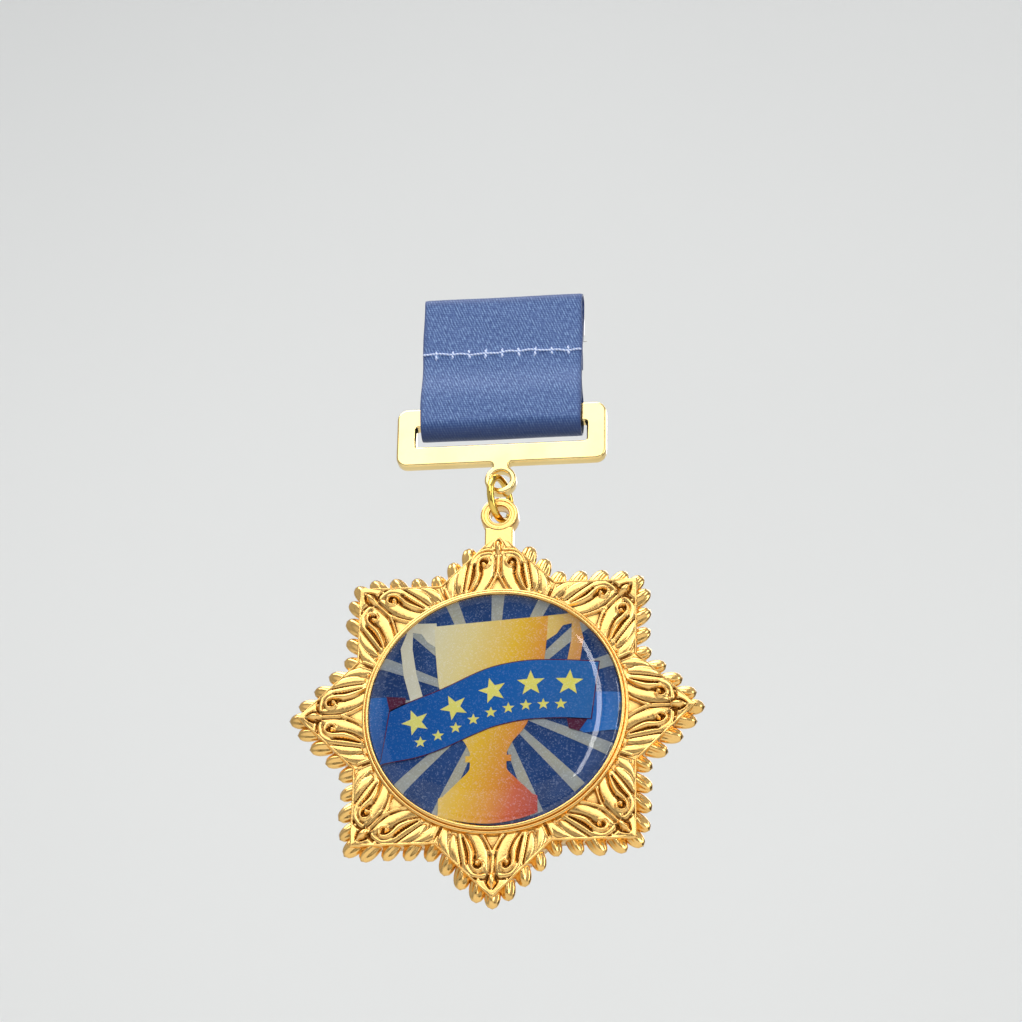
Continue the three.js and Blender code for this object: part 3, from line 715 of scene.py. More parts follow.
def makeRing():
    s = ringSizes
    gap = s["cut"] / s["radius"]
    angle = np.linspace(gap / 2, 2 * math.pi - gap / 2, 120)
    lean = math.radians(s["lean"])
    out = s["radius"] * np.cos(angle)
    up = s["radius"] * np.sin(angle)
    line = np.stack([out * math.sin(lean), hangY + out * math.cos(lean), ringZ + up], axis=1)
    radii = np.full(len(line), s["wire"])
    radii[[0, -1]] *= s["endShare"]  # the cut ends are nipped slightly round
    piece = sweptTube("jump_ring_wire", line, radii, sides=24)
    finishPiece(piece, "ring", wireGilt, "gold_plate", "jump_ring")


makeRing()
print("ring made")


# ---------- star
starSizes = {
    "arms": 8, "tip": 29.9, "thick": 2.4, "rimOuter": 20.0, "rimInner": 18.9,
    "ground": 0.3,  # the relief's ground lies this far below the plate's face
    "groundHigh": 0.14,  # the open ground's own height above it
    "edgeRound": 0.22, "edgeLine": 0.44, "edgeInset": 0.16, "edgeWidth": 0.22,
    "rimTuck": 0.35,  # the relief runs this far under the rim
    "seat": 0.3, "seatRoom": 0.3,
    "neckCut": 28.4,  # the top arm ends here, under the strap
    "backMiddle": 2.0,  # of the small fan of faces at the back
    "acrossSteps": 120, "outSteps": 70,
}
leafSizes = {
    "width": 2.5, "length": 4.3, "height": 2.0, "tipOut": 1.25, "edgeOut": 2.35, "perEdge": 3, "fan": 5.0,
    "setBack": 0.12, "neckRoom": 3.2,
    "sides": 32, "rows": 11, "keel": 0.22, "crease": 0.2,
}
# The scroll-work of half an arm. Each stroke is a line of (across, out from the star's middle, half-width,
# height), drawn for the arm that points up, and mirrored for its other half. Petals are broad and flat on
# top, ridges are rounded bands on them, and grooves are cut into both.
petals = {
    "inner petal": [(2.6, 19.4, 1.25, 0.36), (2.05, 21.2, 1.25, 0.4), (1.6, 22.8, 1.15, 0.42),
                    (1.1, 24.3, 0.85, 0.42), (0.85, 25.6, 0.5, 0.42)],
    "outer petal": [(4.75, 19.8, 0.5, 0.34), (4.4, 21.7, 0.62, 0.42), (4.1, 23.4, 0.66, 0.44),
                    (3.8, 24.9, 0.6, 0.42), (2.95, 26.05, 0.46, 0.4), (1.8, 26.35, 0.36, 0.4),
                    (0.6, 26.25, 0.32, 0.4)],
    "almond": [(5.75, 20.0, 0.35, 0.36), (5.75, 21.4, 0.8, 0.48), (5.5, 22.9, 0.8, 0.48),
               (4.95, 24.5, 0.3, 0.36)],
    "small leaf": [(7.1, 19.2, 0.6, 0.34), (7.15, 20.6, 0.8, 0.44), (6.9, 21.9, 0.6, 0.44),
                   (6.3, 23.2, 0.2, 0.36)],
}
ridges = {
    "fork": [(1.75, 19.4, 0.22, 0.56), (0.9, 21.0, 0.24, 0.6), (0.32, 22.2, 0.26, 0.64),
             (0.0, 23.2, 0.28, 0.66)],
    "stem": [(0.0, 22.8, 0.27, 0.62), (0.0, 24.4, 0.24, 0.54), (0.0, 26.2, 0.24, 0.54)],
    "bud": [(0.0, 26.3, 0.34, 0.8), (0.0, 26.9, 0.6, 1.05), (0.0, 27.4, 0.55, 1.1), (0.0, 28.1, 0.22, 0.9)],
    "scroll": [(4.45, 19.7, 0.22, 0.5), (3.65, 21.2, 0.44, 0.64), (3.15, 22.6, 0.5, 0.76),
               (3.12, 24.0, 0.42, 0.8), (2.85, 25.1, 0.34, 0.8), (2.1, 25.6, 0.32, 0.8),
               (1.42, 25.2, 0.28, 0.8), (1.32, 24.4, 0.27, 0.8), (1.75, 23.95, 0.26, 0.82)],
    "ball": [(2.15, 24.3, 0.38, 0.9), (2.2, 24.4, 0.42, 0.96)],
    "pearl": [(6.42, 19.3, 0.27, 0.62), (6.44, 19.36, 0.27, 0.62)],
    "valley rib": [(7.2, 18.4, 0.14, 0.5), (8.05, 20.5, 0.15, 0.52)],
}
grooves = {
    "scroll foot": [(3.75, 19.8, 0.1, 0.16), (2.95, 21.2, 0.13, 0.26), (2.45, 22.7, 0.13, 0.3),
                    (2.45, 23.6, 0.12, 0.24)],
    "outer side": [(5.2, 20.2, 0.13, 0.22), (5.05, 21.7, 0.14, 0.28), (4.8, 23.2, 0.14, 0.3),
                   (4.5, 24.6, 0.14, 0.24)],
    "stem side": [(0.4, 23.2, 0.12, 0.18), (0.38, 24.6, 0.12, 0.18), (0.4, 25.9, 0.12, 0.16)],
    "fork side": [(2.1, 19.8, 0.12, 0.2), (1.3, 21.0, 0.13, 0.24), (0.7, 22.3, 0.13, 0.24)],
    "eye": [(2.68, 24.1, 0.13, 0.4), (2.54, 24.8, 0.18, 0.6), (2.08, 25.08, 0.2, 0.65),
            (1.72, 24.85, 0.16, 0.5), (1.72, 24.45, 0.1, 0.3)],
    "scroll back": [(4.4, 20.2, 0.17, 0.4), (3.98, 21.9, 0.24, 0.6), (3.76, 23.2, 0.22, 0.6),
                    (3.7, 24.5, 0.15, 0.4)],
    "bud side": [(0.6, 26.3, 0.16, 0.4), (0.86, 27.0, 0.19, 0.5), (0.7, 27.75, 0.18, 0.5),
                 (0.2, 28.5, 0.16, 0.4)],
    "tip crevice": [(0.7, 26.85, 0.22, 0.5), (1.8, 26.9, 0.2, 0.5), (2.75, 26.65, 0.16, 0.4)],
    "valley line": [(7.75, 18.7, 0.13, 0.3), (8.75, 21.13, 0.13, 0.3)],
}
# the arm's point is a small roof: high on its middle line, falling to the edges
roof = {"eaves": 0.24, "rise": 0.26, "halfWidth": 3.2, "start": 26.7, "full": 27.0, "bow": 0.05}
# painted shade of the gilt's hollows: 0.5 on open ground, less in grooves, more on ridges; lower is darker
reliefTones = {"ground": 0.5, "gain": 1.7, "spread": 4, "step": 2, "recess": 0.3, "back": 0.6, "rim": 0.6,
               "neck": 0.55, "leaves": 0.5}
armAngle = 2 * math.pi / starSizes["arms"]


def strokeHeight(controls, x, y, fullness):
    line = splineThrough(controls, 7)
    best = np.zeros_like(x)
    for a, b in zip(line, line[1:]):
        d = b[:2] - a[:2]
        t = np.clip(((x - a[0]) * d[0] + (y - a[1]) * d[1]) / max(d @ d, 1e-9), 0, 1)
        off = np.hypot(x - a[0] - t * d[0], y - a[1] - t * d[1])
        halfWidth = a[2] + t * (b[2] - a[2])
        height = a[3] + t * (b[3] - a[3])
        best = np.maximum(best, height * np.clip(1 - (off / halfWidth) ** 2, 0, 1) ** fullness)
    return best


def edgeRadius(theta):
    return starSizes["tip"] * math.cos(armAngle) / np.cos(armAngle - np.abs(theta))


def reliefHeight(theta, radius):
    # height of the front above the relief's ground, at an angle from an arm's middle
    s = starSizes
    x, y = np.abs(radius * np.sin(theta)), radius * np.cos(theta)
    fromEdge = s["tip"] * math.cos(armAngle) - (x * math.sin(armAngle) + y * math.cos(armAngle))
    height = np.full_like(x, s["groundHigh"])
    for controls in petals.values():
        height = np.maximum(height, strokeHeight(controls, x, y, 0.3))
    slope = roof["eaves"] + roof["rise"] * np.clip(1 - x / roof["halfWidth"], 0, 1)
    height = np.maximum(height, slope * smoothStep(roof["start"], roof["full"], y + roof["bow"] * x))
    for controls in ridges.values():
        height = np.maximum(height, strokeHeight(controls, x, y, 0.6))
    for controls in grooves.values():
        height = height - strokeHeight(controls, x, y, 1.0)
    bead = np.clip(1 - (np.abs(fromEdge - s["edgeInset"]) / s["edgeWidth"]) ** 2, 0, 1) ** 0.5
    return np.clip(np.maximum(height, s["edgeLine"] * bead), -0.1, 2)


# painted shade: lower where the relief lies below its surroundings, higher where it stands above them
def creviceShade(high):
    t = reliefTones
    total, weight = np.zeros_like(high), 0
    offsets = range(-t["spread"], t["spread"] + 1, t["step"])
    for i in offsets:
        for j in offsets:
            rows = np.clip(np.arange(high.shape[1]) + j, 0, high.shape[1] - 1)
            total += np.roll(high, i, axis=0)[:, rows]
            weight += 1
    return np.clip(t["ground"] + t["gain"] * (high - total / weight), 0, 1)


def makeStarBody():
    s, tones = starSizes, reliefTones
    arms, across, out = s["arms"], s["acrossSteps"], s["outSteps"]
    backY, frontY = hangY + s["thick"] / 2, hangY - s["thick"] / 2
    theta = np.linspace(-armAngle / 2, armAngle / 2, across, endpoint=False)
    share = np.linspace(0, 1, out + 1)
    inner = s["rimOuter"] - s["rimTuck"]
    edge = edgeRadius(theta)
    rad = inner + (edge[:, None] - inner) * share[None, :]
    high = reliefHeight(np.broadcast_to(theta[:, None], rad.shape), rad)
    shade = creviceShade(high)
    # the outermost rows round over towards the side
    rounded = smoothStep(0, s["edgeRound"], edge[:, None] - rad)
    level = high - s["ground"] - (1 - np.sqrt(rounded)) * s["edgeRound"]
    points, relief = [], []

    def limitOf(arm, i):
        # the top arm is cut off square under the strap
        return s["neckCut"] / max(math.cos(theta[i]), 0.5) if arm == 0 else s["tip"]

    def addPoint(arm, i, radius, depth, tone):
        radius = min(radius, limitOf(arm, i))
        a = theta[i] + armAngle * arm
        points.append((radius * math.sin(a), depth, starZ + radius * math.cos(a)))
        relief.append(tone)

    columns = [(arm, i) for arm in range(arms) for i in range(across)]
    for arm, i in columns:
        for j in range(out + 1):
            addPoint(arm, i, rad[i, j], frontY - level[i, j], shade[i, j])
    rows, total = out + 1, len(columns)
    # round the side and on to the back: how far in from the edge, and depth
    base = [len(points)]
    for inset, depth in ((0, frontY + s["ground"] + 0.35), (0, backY - 0.15), (0.15, backY)):
        for arm, i in columns:
            addPoint(arm, i, min(edge[i], limitOf(arm, i)) - inset, depth, tones["ground"])
        base.append(len(points))
    for arm, i in columns:
        addPoint(arm, i, s["backMiddle"], backY, tones["ground"])
    backMiddle = len(points)
    points.append((0, backY, starZ))
    relief.append(tones["back"])
    faces = []
    for c in range(total):
        d = (c + 1) % total
        for j in range(out):
            faces.append((c * rows + j, c * rows + j + 1, d * rows + j + 1, d * rows + j))
        faces.append((c * rows + out, base[0] + c, base[0] + d, d * rows + out))
        for k in range(3):
            faces.append((base[k] + c, base[k + 1] + c, base[k + 1] + d, base[k] + d))
        faces.append((base[3] + c, backMiddle, base[3] + d))
    # the recess: down inside the rim to the seat, then to the middle
    seatY, wall = frontY + s["seat"], s["rimInner"] + s["seatRoom"]
    start = len(points)
    for depth in (frontY - 0.1, seatY):
        for arm, i in columns:
            addPoint(arm, i, wall, depth, tones["recess"])
    seatMiddle = len(points)
    points.append((0, seatY, starZ))
    relief.append(tones["recess"])
    for c in range(total):
        d = (c + 1) % total
        faces.append((c * rows, d * rows, start + d, start + c))
        faces.append((start + c, start + d, start + total + d, start + total + c))
        faces.append((start + total + c, start + total + d, seatMiddle))
    piece = tidyMesh(addValues(meshObject("starBody", points, faces), "relief", relief), merge=0.00005)
    for face in piece.data.polygons:
        face.use_smooth = face.normal.y < 0.9  # the cast back is flat
    return piece


def setRelief(piece, tone):
    return addValues(piece, "relief", np.full(len(piece.data.vertices), tone))


def makeRim():
    s = starSizes
    frontY = hangY - s["thick"] / 2
    foot = frontY + 0.25
    wall = s["rimOuter"] - s["rimInner"]
    # two rounded lips side by side, the inner one higher
    innerLip = [(s["rimInner"] + wall * 0.26 - wall * 0.26 * math.cos(a), frontY - 0.75 - 0.27 * math.sin(a))
                for a in np.linspace(0.25, math.pi - 0.25, 9)]
    outerLip = [(s["rimOuter"] - wall * 0.24 - wall * 0.24 * math.cos(a), frontY - 0.36 - 0.24 * math.sin(a))
                for a in np.linspace(0.2, math.pi, 9)]
    profile = [(s["rimInner"], foot), (s["rimInner"], frontY - 0.75), *innerLip,
               (s["rimInner"] + wall * 0.52, frontY - 0.5), *outerLip, (s["rimOuter"], foot)]
    return setRelief(turnedAboutY("rim", profile, 192, 0, starZ), reliefTones["rim"])


lugSizes = {"outer": 2.9, "hole": 1.5, "strap": 4.3, "strapFoot": 25.6, "archFoot": 24.4, "archWire": 0.21}
# half of the low ogee arch over the strap, as (across, above the arch's foot)
archLine = [(4.2, 0), (3.75, 1.2), (2.9, 2.1), (1.8, 2.5), (0.85, 2.45), (0.5, 2.8), (0.66, 3.3), (0.45, 3.9),
            (0, 4.5)]


def makeNeck():
    s = lugSizes
    frontY, backY = hangY - starSizes["thick"] / 2, hangY + starSizes["thick"] / 2
    o, h = s["outer"], s["hole"]
    profile = [
        (h + 0.12, backY), (o - 0.3, backY), (o - 0.08, backY - 0.1), (o, backY - 0.35), (o, frontY + 0.35),
        (o - 0.07, frontY + 0.1), (o - 0.25, frontY), (o - 0.5, frontY + 0.02), (o - 0.62, frontY + 0.16),
        (h + 0.42, frontY + 0.18), (h + 0.3, frontY + 0.04), (h + 0.14, frontY + 0.03),
        (h + 0.02, frontY + 0.16), (h, frontY + 0.35), (h, backY - 0.2)]
    ring = turnedAboutY("lug", profile, 96, 0, pendantHoleZ)
    top = pendantHoleZ - (o + h) / 2
    bottom = starZ + s["strapFoot"]
    plate = plateFrom("strap", [roundedLoop(s["strap"], top - bottom, 0.2, 0, (top + bottom) / 2)],
                      starSizes["thick"] - 0.1, hangY, 0.22)
    half = splineThrough(np.array(archLine) + [0, starZ + s["archFoot"]], 6)
    arch = np.vstack([half, (half * [-1, 1])[::-1][1:]])
    line = np.stack([arch[:, 0], np.full(len(arch), frontY - 0.04), arch[:, 1]], axis=1)
    bead = sweptTube("arch", line, s["archWire"], sides=10)
    return [setRelief(p, reliefTones["neck"]) for p in (ring, plate, bead)]


def leafSeed():
    # a plump bud, one unit long, wide and high: blunt towards the point, with a keel along its front
    s = leafSizes
    points, faces = [], []
    for j in range(s["rows"] + 1):
        t = j / s["rows"]
        body = 0.9 + 0.1 * t / 0.45 if t < 0.45 else (1 - ((t - 0.45) / 0.55) ** 2.5) ** 0.55
        body = body if j else 0.3
        for k in range(s["sides"]):
            a = 2 * math.pi * k / s["sides"]
            # the keel wanders sideways, with a crease on each side of it
            fromKeel = abs((a + math.pi) % (2 * math.pi) - math.pi - 0.5 * (t - 0.4))
            keel = s["keel"] * math.exp(-(fromKeel / 0.3) ** 2)
            keel -= s["crease"] * math.exp(-((fromKeel - 0.62) / 0.24) ** 2)
            half = 0.5 * body * (1 + keel * (1 - t ** 5))
            points.append((half * math.sin(a), -half * math.cos(a), t - 0.5))
    for j in range(s["rows"]):
        for k in range(s["sides"]):
            a, b = j * s["sides"] + k, j * s["sides"] + (k + 1) % s["sides"]
            faces.append((a, b, b + s["sides"], a + s["sides"]))
    return tidyMesh(meshObject("leafSeed", points, faces))


def makeLeaves():
    s, tip = leafSizes, starSizes["tip"]
    half = armAngle / 2
    valley = float(edgeRadius(np.array([half]))[0])
    low = np.array([valley * math.sin(half), valley * math.cos(half)])
    feet = [((0, tip), 0.0, s["tipOut"])]
    for side in (-1, 1):
        for i in range(1, s["perEdge"] + 1):
            share = i / (s["perEdge"] + 1)
            foot = (side * low[0] * share, tip + (low[1] - tip) * share)
            feet.append((foot, side * math.radians(s["fan"] * i), s["edgeOut"]))
    feet.append((low, half, s["edgeOut"]))
    places, turns = [], []
    for arm in range(starSizes["arms"]):
        turn = armAngle * arm
        for (footX, footZ), lean, reach in feet:
            out = reach - s["length"] / 2
            x, z = footX + out * math.sin(lean), footZ + out * math.cos(lean)
            if arm == 0 and z > tip - s["neckRoom"]:
                continue  # the strap stands where these would be
            places.append((x * math.cos(turn) + z * math.sin(turn), hangY + s["setBack"],
                           starZ + z * math.cos(turn) - x * math.sin(turn)))
            turns.append((0, lean + turn, 0))
    seed = leafSeed()
    leaves = grow("leaves", places, turns, scatterTree("Leaf border"), {
        "Seed shape": seed, "Width": s["width"], "Height": s["height"], "Length": s["length"],
        "Unevenness": 0.08, "Random seed": 3, "Finish": castGilt})
    bpy.data.objects.remove(seed)
    return setRelief(leaves, reliefTones["leaves"])


def makeStar():
    star = joinPieces([makeStarBody(), makeRim(), *makeNeck(), makeLeaves()], "cast_star")
    finishPiece(star, "pendant", castGilt, "gold_plate", "star_casting")


makeStar()
print("star made")


# ---------- printed picture
pictureSizes = {
    "layer": 0.03, "radius": discHigh[0], "recess": 0.2,
    "edgeGap": 0.02,  # the inks stop this far inside the foil's edge
    "shift": (-0.3, 0.75),  # the print sits a little off the middle
    "rays": 16, "rayStart": 3, "rayInner": 0.8, "rayOuter": 2.0, "rayTurn": 1.5,
    "cupSlant": 0.065, "cupShift": 0.45,
    "outline": 0.16,
    "bigStars": 5, "bigStar": 2.15, "bigPitch": 5.7, "bigRise": 1.0,
    "smallStars": 9, "smallStar": 0.95, "smallPitch": 2.6, "smallRise": -2.5,
    "starWaist": 0.42,
}
# outlines as (across, up) from the star's middle; those of the cup are for one side, which is mirrored
pictureShapes = {
    "cup": [(8.55, 13.6), (8.2, 8), (7.4, 2), (5.6, -3.5), (3.6, -6.2), (2.75, -7.9)],
    "knop": [(2.75, -8.4), (3.4, -8.4), (3.4, -9.4), (2.7, -9.4)],
    "foot": [(2.7, -9.9), (2.9, -10.8), (4.3, -12.3), (5.6, -13.6), (6.6, -14.6)],
    "base": [(7.3, -14.9), (7.3, -17.2)],
    # an ear of even width: up the bar, square over the top, and a hook back to the cup's side
    "handle": [(12.2, 0.6), (13.4, 5.0), (14.0, 9.6), (14.0, 13.9), (12.0, 13.9), (8.7, 13.6), (8.6, 12.4),
               (8.0, 11.6), (6.6, 11.0), (6.6, 9.2), (8.6, 9.5), (10.0, 10.5), (10.9, 11.9), (12.2, 12.2),
               (12.2, 9.4), (11.5, 5.2), (10.2, 0.6)],
    "leftTail": [(-19.5, 1.9), (-13.0, 1.5), (-13.2, 0.0), (-15.3, -0.9), (-16.4, -8.9), (-19.5, -6.0)],
    "rightTail": [(15.1, 1.4), (19.5, 1.4), (19.5, -5.0), (13.6, -5.2), (12.2, -4.2), (12.2, -2.0),
                  (14.6, -2.6)],
    "leftFold": [(-15.9, 1.75), (-13.0, 1.45), (-13.0, 0.1), (-15.3, -0.9)],
    "rightFold": [(14.7, -2.2), (11.0, -2.4), (11.4, -4.4), (12.9, -4.9)],
    "bannerTop": [(-15.3, -0.75), (-13.2, 0.25), (-7.3, 2.65), (-2.8, 4.85), (0.5, 6.05), (5.1, 6.75),
                  (10.3, 6.65), (15.7, 6.25)],
    "bannerFoot": [(-16.4, -8.95), (-11.3, -8.25), (-7.3, -7.0), (-2.8, -4.95), (0.5, -3.65), (5.1, -2.75),
                   (10.3, -2.65), (14.6, -2.95)],
}
# each ink: its material's name, its shades, where across the picture they start and end, and its glitter, the
# strength of the flakes' painted glint
inks = {
    "foil": ("Navy ink on glitter foil", [(0.3, "#1a3564"), (0.7, "#264880")], None, 0.2),
    "rays": ("Grey-cream ink on glitter foil", [(0.3, "#8b949c"), (0.7, "#aaa892")], None, 0.3),
    "cup": ("Gold to coral ink on glitter foil",
            [(0.0, "#dcd4ac"), (0.24, "#e2cf8a"), (0.5, "#e6b936"), (0.68, "#dc9638"), (0.82, "#cc6440"),
             (1.0, "#ae3e38")], (-13.0, 12.0), 0.3),
    "handleLeft": ("Cream ink on glitter foil", [(0.3, "#cdc9b2"), (0.7, "#dcd6b8")], None, 0.3),
    "handleRight": ("Orange ink on glitter foil", [(0.0, "#dec06c"), (1.0, "#c9713a")], (4.0, 12.5), 0.3),
    "banner": ("Bright blue ink on glitter foil", [(0.0, "#0e4f96"), (0.5, "#145ca8"), (1.0, "#336aa4")],
               (-18, 18), 0.1),
    "tails": ("Deep blue ink on glitter foil",
              [(0.0, "#1f66b0"), (0.12, "#164a8c"), (0.85, "#1a55a0"), (1.0, "#2f78c2")], (-19, 19), 0.15),
    "shade": ("Maroon ink on glitter foil", [(0.3, "#4a1d33"), (0.7, "#5e2440")], None, 0.15),
    "stars": ("Yellow ink on glitter foil", [(0.0, "#e0da74"), (1.0, "#e6dc60")], (-15, 15), 0.3),
}
inkEdge = pictureSizes["radius"] - pictureSizes["edgeGap"]
bannerTop, bannerFoot = (splineThrough(pictureShapes[k], 8) for k in ("bannerTop", "bannerFoot"))


def clipToDisc(loop):
    loop = np.array(loop, float)
    size = np.linalg.norm(loop, axis=1)
    scale = np.where(size > inkEdge, inkEdge / np.maximum(size, 1e-9), 1)
    return loop * scale[:, None]


def inkPiece(name, loops, level, ink):
    # closed flat shapes of (x, z) from the star's middle, as a thin layer of ink
    s = pictureSizes
    faceY = discLow[1] + s["recess"] - level * s["layer"]
    pieces = []
    for loop in loops:
        placed = clipToDisc(np.array(loop, float) + s["shift"]) + [0, starZ]
        work = bmesh.new()
        back = [work.verts.new((x * mm, (faceY + s["layer"]) * mm, z * mm)) for x, z in placed]
        face = work.faces.new(back)
        result = bmesh.ops.extrude_face_region(work, geom=[face])
        moved = [v for v in result["geom"] if isinstance(v, bmesh.types.BMVert)]
        bmesh.ops.translate(work, verts=moved, vec=(0, -s["layer"] * mm, 0))
        bmesh.ops.triangulate(work, faces=[f for f in work.faces if len(f.verts) > 4])
        bmesh.ops.recalc_face_normals(work, faces=work.faces)
        mesh = bpy.data.meshes.new(name)
        work.to_mesh(mesh)
        work.free()
        pieces.append(addObject(name + "Part", mesh))
    piece = joinPieces(pieces, name)
    piece.data.shade_flat()
    finishPiece(piece, "pendant", foilMaterial(*inks[ink]), "printed_insert")


def fivePointStar(x, z, radius, turn):
    angles = np.radians(90 + turn + 36 * np.arange(10))
    radii = np.where(np.arange(10) % 2 == 0, radius, radius * pictureSizes["starWaist"])
    return np.stack([x + radii * np.cos(angles), z + radii * np.sin(angles)], axis=1)


def bannerBand(grow):
    loop = np.vstack([bannerTop + [0, grow], bannerFoot[::-1] - [0, grow]])
    return clipToDisc(loop * [1 + grow / 16, 1])


def bannerStars():
    s = pictureSizes

    def edgeAt(line, x):
        return float(np.interp(x, line[:, 0], line[:, 1]))

    def row(count, start, pitch, rise, radius, tilted):
        stars = []
        for i in range(count):
            x = start + pitch * i
            slope = math.degrees(math.atan(edgeAt(bannerTop, x + 0.5) - edgeAt(bannerTop, x - 0.5)))
            z = (edgeAt(bannerTop, x) + edgeAt(bannerFoot, x)) / 2 + rise
            stars.append(fivePointStar(x, z, radius, slope if tilted else 0))
        return stars

    return (row(s["bigStars"], -11.4, s["bigPitch"], s["bigRise"], s["bigStar"], True)
            + row(s["smallStars"], -10.6, s["smallPitch"], s["smallRise"], s["smallStar"], False))


def cupLoop():
    s, shapes = pictureSizes, pictureShapes
    right = np.vstack([splineThrough(shapes["cup"], 8), shapes["knop"], splineThrough(shapes["foot"], 6),
                       shapes["base"], arcPoints(0, 0, inkEdge, -67, -90, 12)])
    cup = np.vstack([right, (right * [-1, 1])[::-1][1:]])
    cup[:, 1] += np.where(cup[:, 1] > 12, cup[:, 0] * s["cupSlant"], 0)  # the lip is cut on a slight slant
    cup[:, 0] -= s["cupShift"]
    return clipToDisc(cup)


def makePicture():
    s, shapes = pictureSizes, pictureShapes
    faceY = discLow[1] + s["recess"]
    profile = [(0, discHigh[1]), (s["radius"], discHigh[1]), (s["radius"], faceY), (0, faceY)]
    base = turnedAboutY("printed_foil", profile, 160, 0, starZ)
    finishPiece(base, "pendant", foilMaterial(*inks["foil"]), "printed_insert", "printed_disc")
    rays = []
    for i in range(s["rays"]):
        a = 2 * math.pi * i / s["rays"] + math.radians(s["rayTurn"])
        out, side = np.array([math.sin(a), math.cos(a)]), np.array([math.cos(a), -math.sin(a)])
        near, far = out * s["rayStart"], out * (inkEdge - 0.06)
        thin, wide = side * s["rayInner"] / 2, side * s["rayOuter"] / 2
        rays.append([near - thin, near + thin, far + wide, far - wide])
    handle = np.array(shapes["handle"])
    inkPiece("print_rays", rays, 1, "rays")
    inkPiece("print_cup", [cupLoop()], 3, "cup")
    inkPiece("print_handle_left", [clipToDisc(handle * [-1, 1])], 2, "handleLeft")
    inkPiece("print_handle_right", [clipToDisc(handle + [-0.6, 0.6])], 2, "handleRight")
    # banner tails, the dark turns of the fold, then the banner with its dark outline
    inkPiece("print_banner_tails", [clipToDisc(shapes[k]) for k in ("leftTail", "rightTail")], 4, "tails")
    folds = [clipToDisc(shapes[k]) for k in ("leftFold", "rightFold")]
    inkPiece("print_banner_shade", [bannerBand(s["outline"]), *folds], 5, "shade")
    inkPiece("print_banner", [bannerBand(0.0)], 6, "banner")
    inkPiece("print_stars", bannerStars(), 7, "stars")


domeSizes = {"wall": 0.5, "fullness": 0.6, "bond": 0.05}


def makeDome():
    low, high = spanOf("resin_dome")
    s = domeSizes
    radius, foot = high[0], high[1]
    rise = foot - low[1] - s["wall"]
    bonded = discLow[1] + pictureSizes["recess"] + s["bond"]  # the resin wets the print, with no air between
    profile = [(0, bonded), (radius, bonded)]
    for a in np.linspace(0, math.pi / 2, 26):
        profile.append((radius * max(math.cos(a), 0) ** s["fullness"], foot - s["wall"] - rise * math.sin(a)))
    profile[-1] = (0, low[1])
    piece = turnedAboutY("epoxy_dome", profile, 160, 0, starZ)
    finishPiece(piece, "pendant", epoxy, "clear_resin", "resin_dome")


makePicture()
makeDome()
print("picture and dome made")


# ---------- brooch
broochFinish = {"brooch_base": steel, "brooch_rivet": steel, "brooch_needle": steel, "catch_rotor": steel,
                "brooch_stitch_left": thread, "brooch_stitch_right": thread}
for node, finish in broochFinish.items():
    part = frame["nodes"][node]
    part.data.materials.clear()
    part.data.materials.append(finish)
print("brooch dressed")


# ---------- stage, lights and camera
stageSizes = {"floor": -430, "wall": 950, "bend": 350, "width": 16000, "front": -9000, "top": 1500,
              "aimRise": 20}
skyLight = {"colour": "#e9ecf0", "strength": 0.62}
# lights and cards: (degrees round from the front, degrees up, distance), (width, height), and a light's watts
softboxes = {
    "keySoftbox": ((-8, 32, 900), (640, 420), 1.85),
    "topSoftbox": ((-40, 66, 1000), (800, 800), 9),
    "domeStrip": ((13, 22, 800), (46, 520), 0.6),
    "sideStrip": ((68, 12, 800), (200, 700), 2.0),
    "backLight": ((165, 40, 1000), (500, 500), 2.0),
}
flags = {
    "cameraSideFlag": ((8, -32, 900), (1000, 560)),
    "rightFlag": ((115, -5, 800), (500, 900)),
    "keyBacking": ((-8, 32, 960), (860, 760)),  # behind the key light, which the dome does not mirror
}
# the two large lights are kept off the dome, so that their reflections do not veil the picture, and the
# light behind is kept off the paper, where it would leave a bright patch
sparedBy = {"keySoftbox": "epoxy_dome", "topSoftbox": "epoxy_dome", "backLight": "paper_sweep"}
cameraSizes = {"azimuth": 7.516, "elevation": -27.877, "roll": 1.085, "distance": 564.35, "lens": 129.8,
               "aimX": 1.66, "aimAboveLug": 1.09}


def directionOf(around, up):
    a, e = math.radians(around), math.radians(up)
    return Vector((math.sin(a) * math.cos(e), -math.cos(a) * math.cos(e), math.sin(e)))


def aimAtStar(thing, place):
    direction = directionOf(place[0], place[1])
    thing.location = Vector((0, hangY * mm, (starZ + stageSizes["aimRise"]) * mm)) + direction * place[2] * mm
    thing.rotation_euler = direction.to_track_quat("Z", "Y").to_euler()


def makeStage():
    s = stageSizes
    bend = arcPoints(s["wall"] - s["bend"], s["floor"] + s["bend"], s["bend"], -90, 0, 24)
    line = np.vstack([[(s["front"], s["floor"])], bend, [(s["wall"], s["top"])]])
    points = [(side * s["width"] / 2, y, z) for side in (-1, 1) for y, z in line]
    count = len(line)
    faces = [(i, i + 1, count + i + 1, count + i) for i in range(count - 1)]
    sweep = meshObject("paper_sweep", points, faces)
    sweep.data.materials.append(paper)


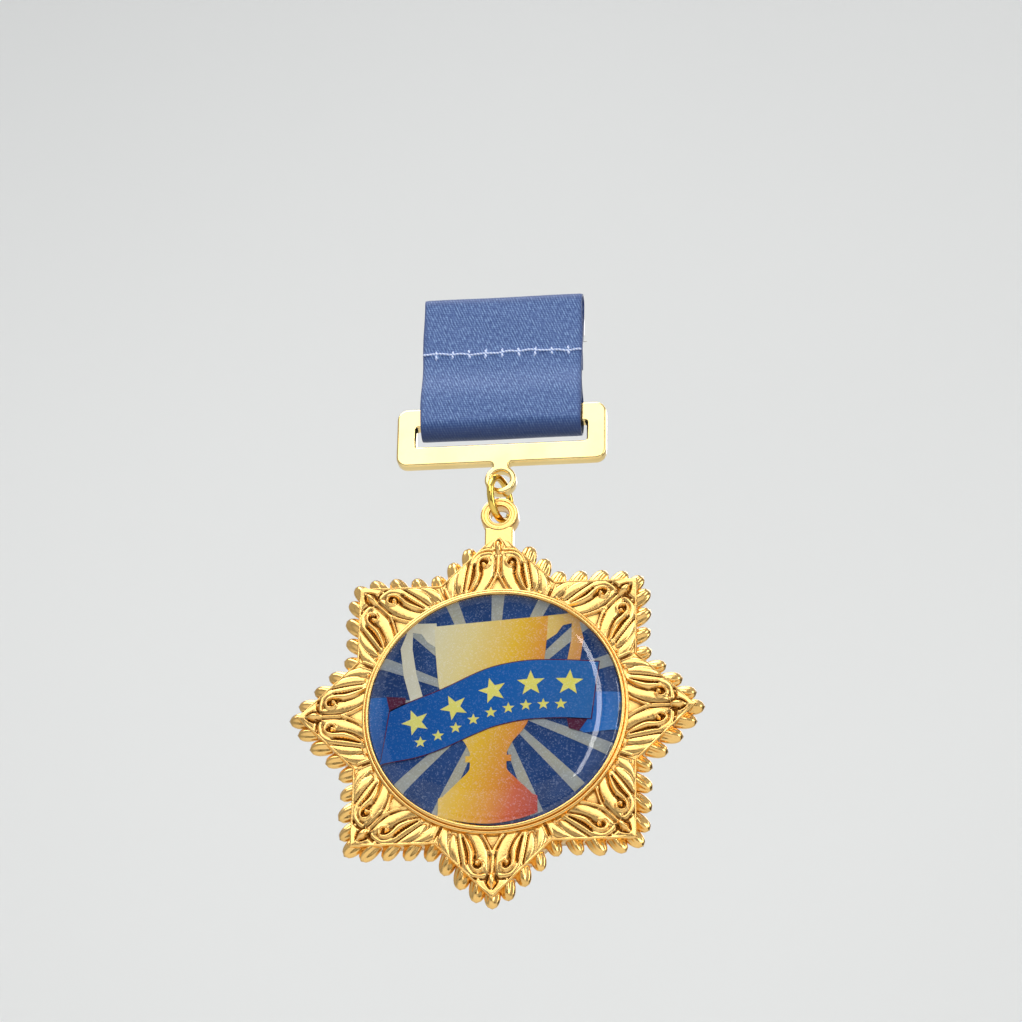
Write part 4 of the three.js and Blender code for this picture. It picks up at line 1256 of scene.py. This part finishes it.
def addSoftbox(name, place, size, power):
    lamp = bpy.data.lights.new(name, "AREA")
    lamp.shape = "RECTANGLE"
    lamp.size, lamp.size_y = size[0] * mm, size[1] * mm
    lamp.energy = power
    holder = addObject(name, lamp)
    aimAtStar(holder, place)
    holder.visible_camera = False
    if name in sparedBy:
        unlit = bpy.data.collections.new(f"Unlit by {name}")
        unlit.objects.link(bpy.data.objects[sparedBy[name]])
        unlit.collection_objects[0].light_linking.link_state = "EXCLUDE"
        holder.light_linking.receiver_collection = unlit


def addFlag(name, place, size):
    # a dark card that only shows in reflections, so that the metal has something dark to mirror
    w, h = size[0] / 2, size[1] / 2
    card = meshObject(name, [(-w, -h, 0), (w, -h, 0), (w, h, 0), (-w, h, 0)], [(0, 1, 2, 3)], smooth=False)
    aimAtStar(card, place)
    card.data.materials.append(felt)
    card.visible_camera = False
    card.visible_diffuse = False
    card.visible_shadow = False


def makeLights():
    world = bpy.data.worlds.new("Studio")
    world.use_nodes = True
    sky = world.node_tree.nodes["Background"]
    sky.inputs[0].default_value = linear(skyLight["colour"])
    sky.inputs[1].default_value = skyLight["strength"]
    bpy.context.scene.world = world
    for name, settings in softboxes.items():
        addSoftbox(name, *settings)
    for name, settings in flags.items():
        addFlag(name, *settings)


def makeCamera():
    s = cameraSizes
    roll = math.radians(s["roll"])
    back = directionOf(s["azimuth"], s["elevation"])
    right = (-back).cross(Vector((0, 0, 1))).normalized()
    up = right.cross(-back).normalized()
    turnedRight = math.cos(roll) * right + math.sin(roll) * up
    turnedUp = -math.sin(roll) * right + math.cos(roll) * up
    target = Vector((s["aimX"], hangY, pendantHoleZ + s["aimAboveLug"])) * mm
    lens = bpy.data.cameras.new("Camera")
    lens.lens = s["lens"]
    lens.sensor_width = 36
    lens.clip_start, lens.clip_end = 0.01, 20
    camera = addObject("Camera", lens)
    place = Matrix((turnedRight, turnedUp, back)).transposed().to_4x4()
    place.translation = target + back * s["distance"] * mm
    camera.matrix_world = place
    bpy.context.scene.camera = camera


makeStage()
makeLights()
makeCamera()
bpy.context.scene.view_settings.view_transform = "Standard"
print("stage, lights and camera made")
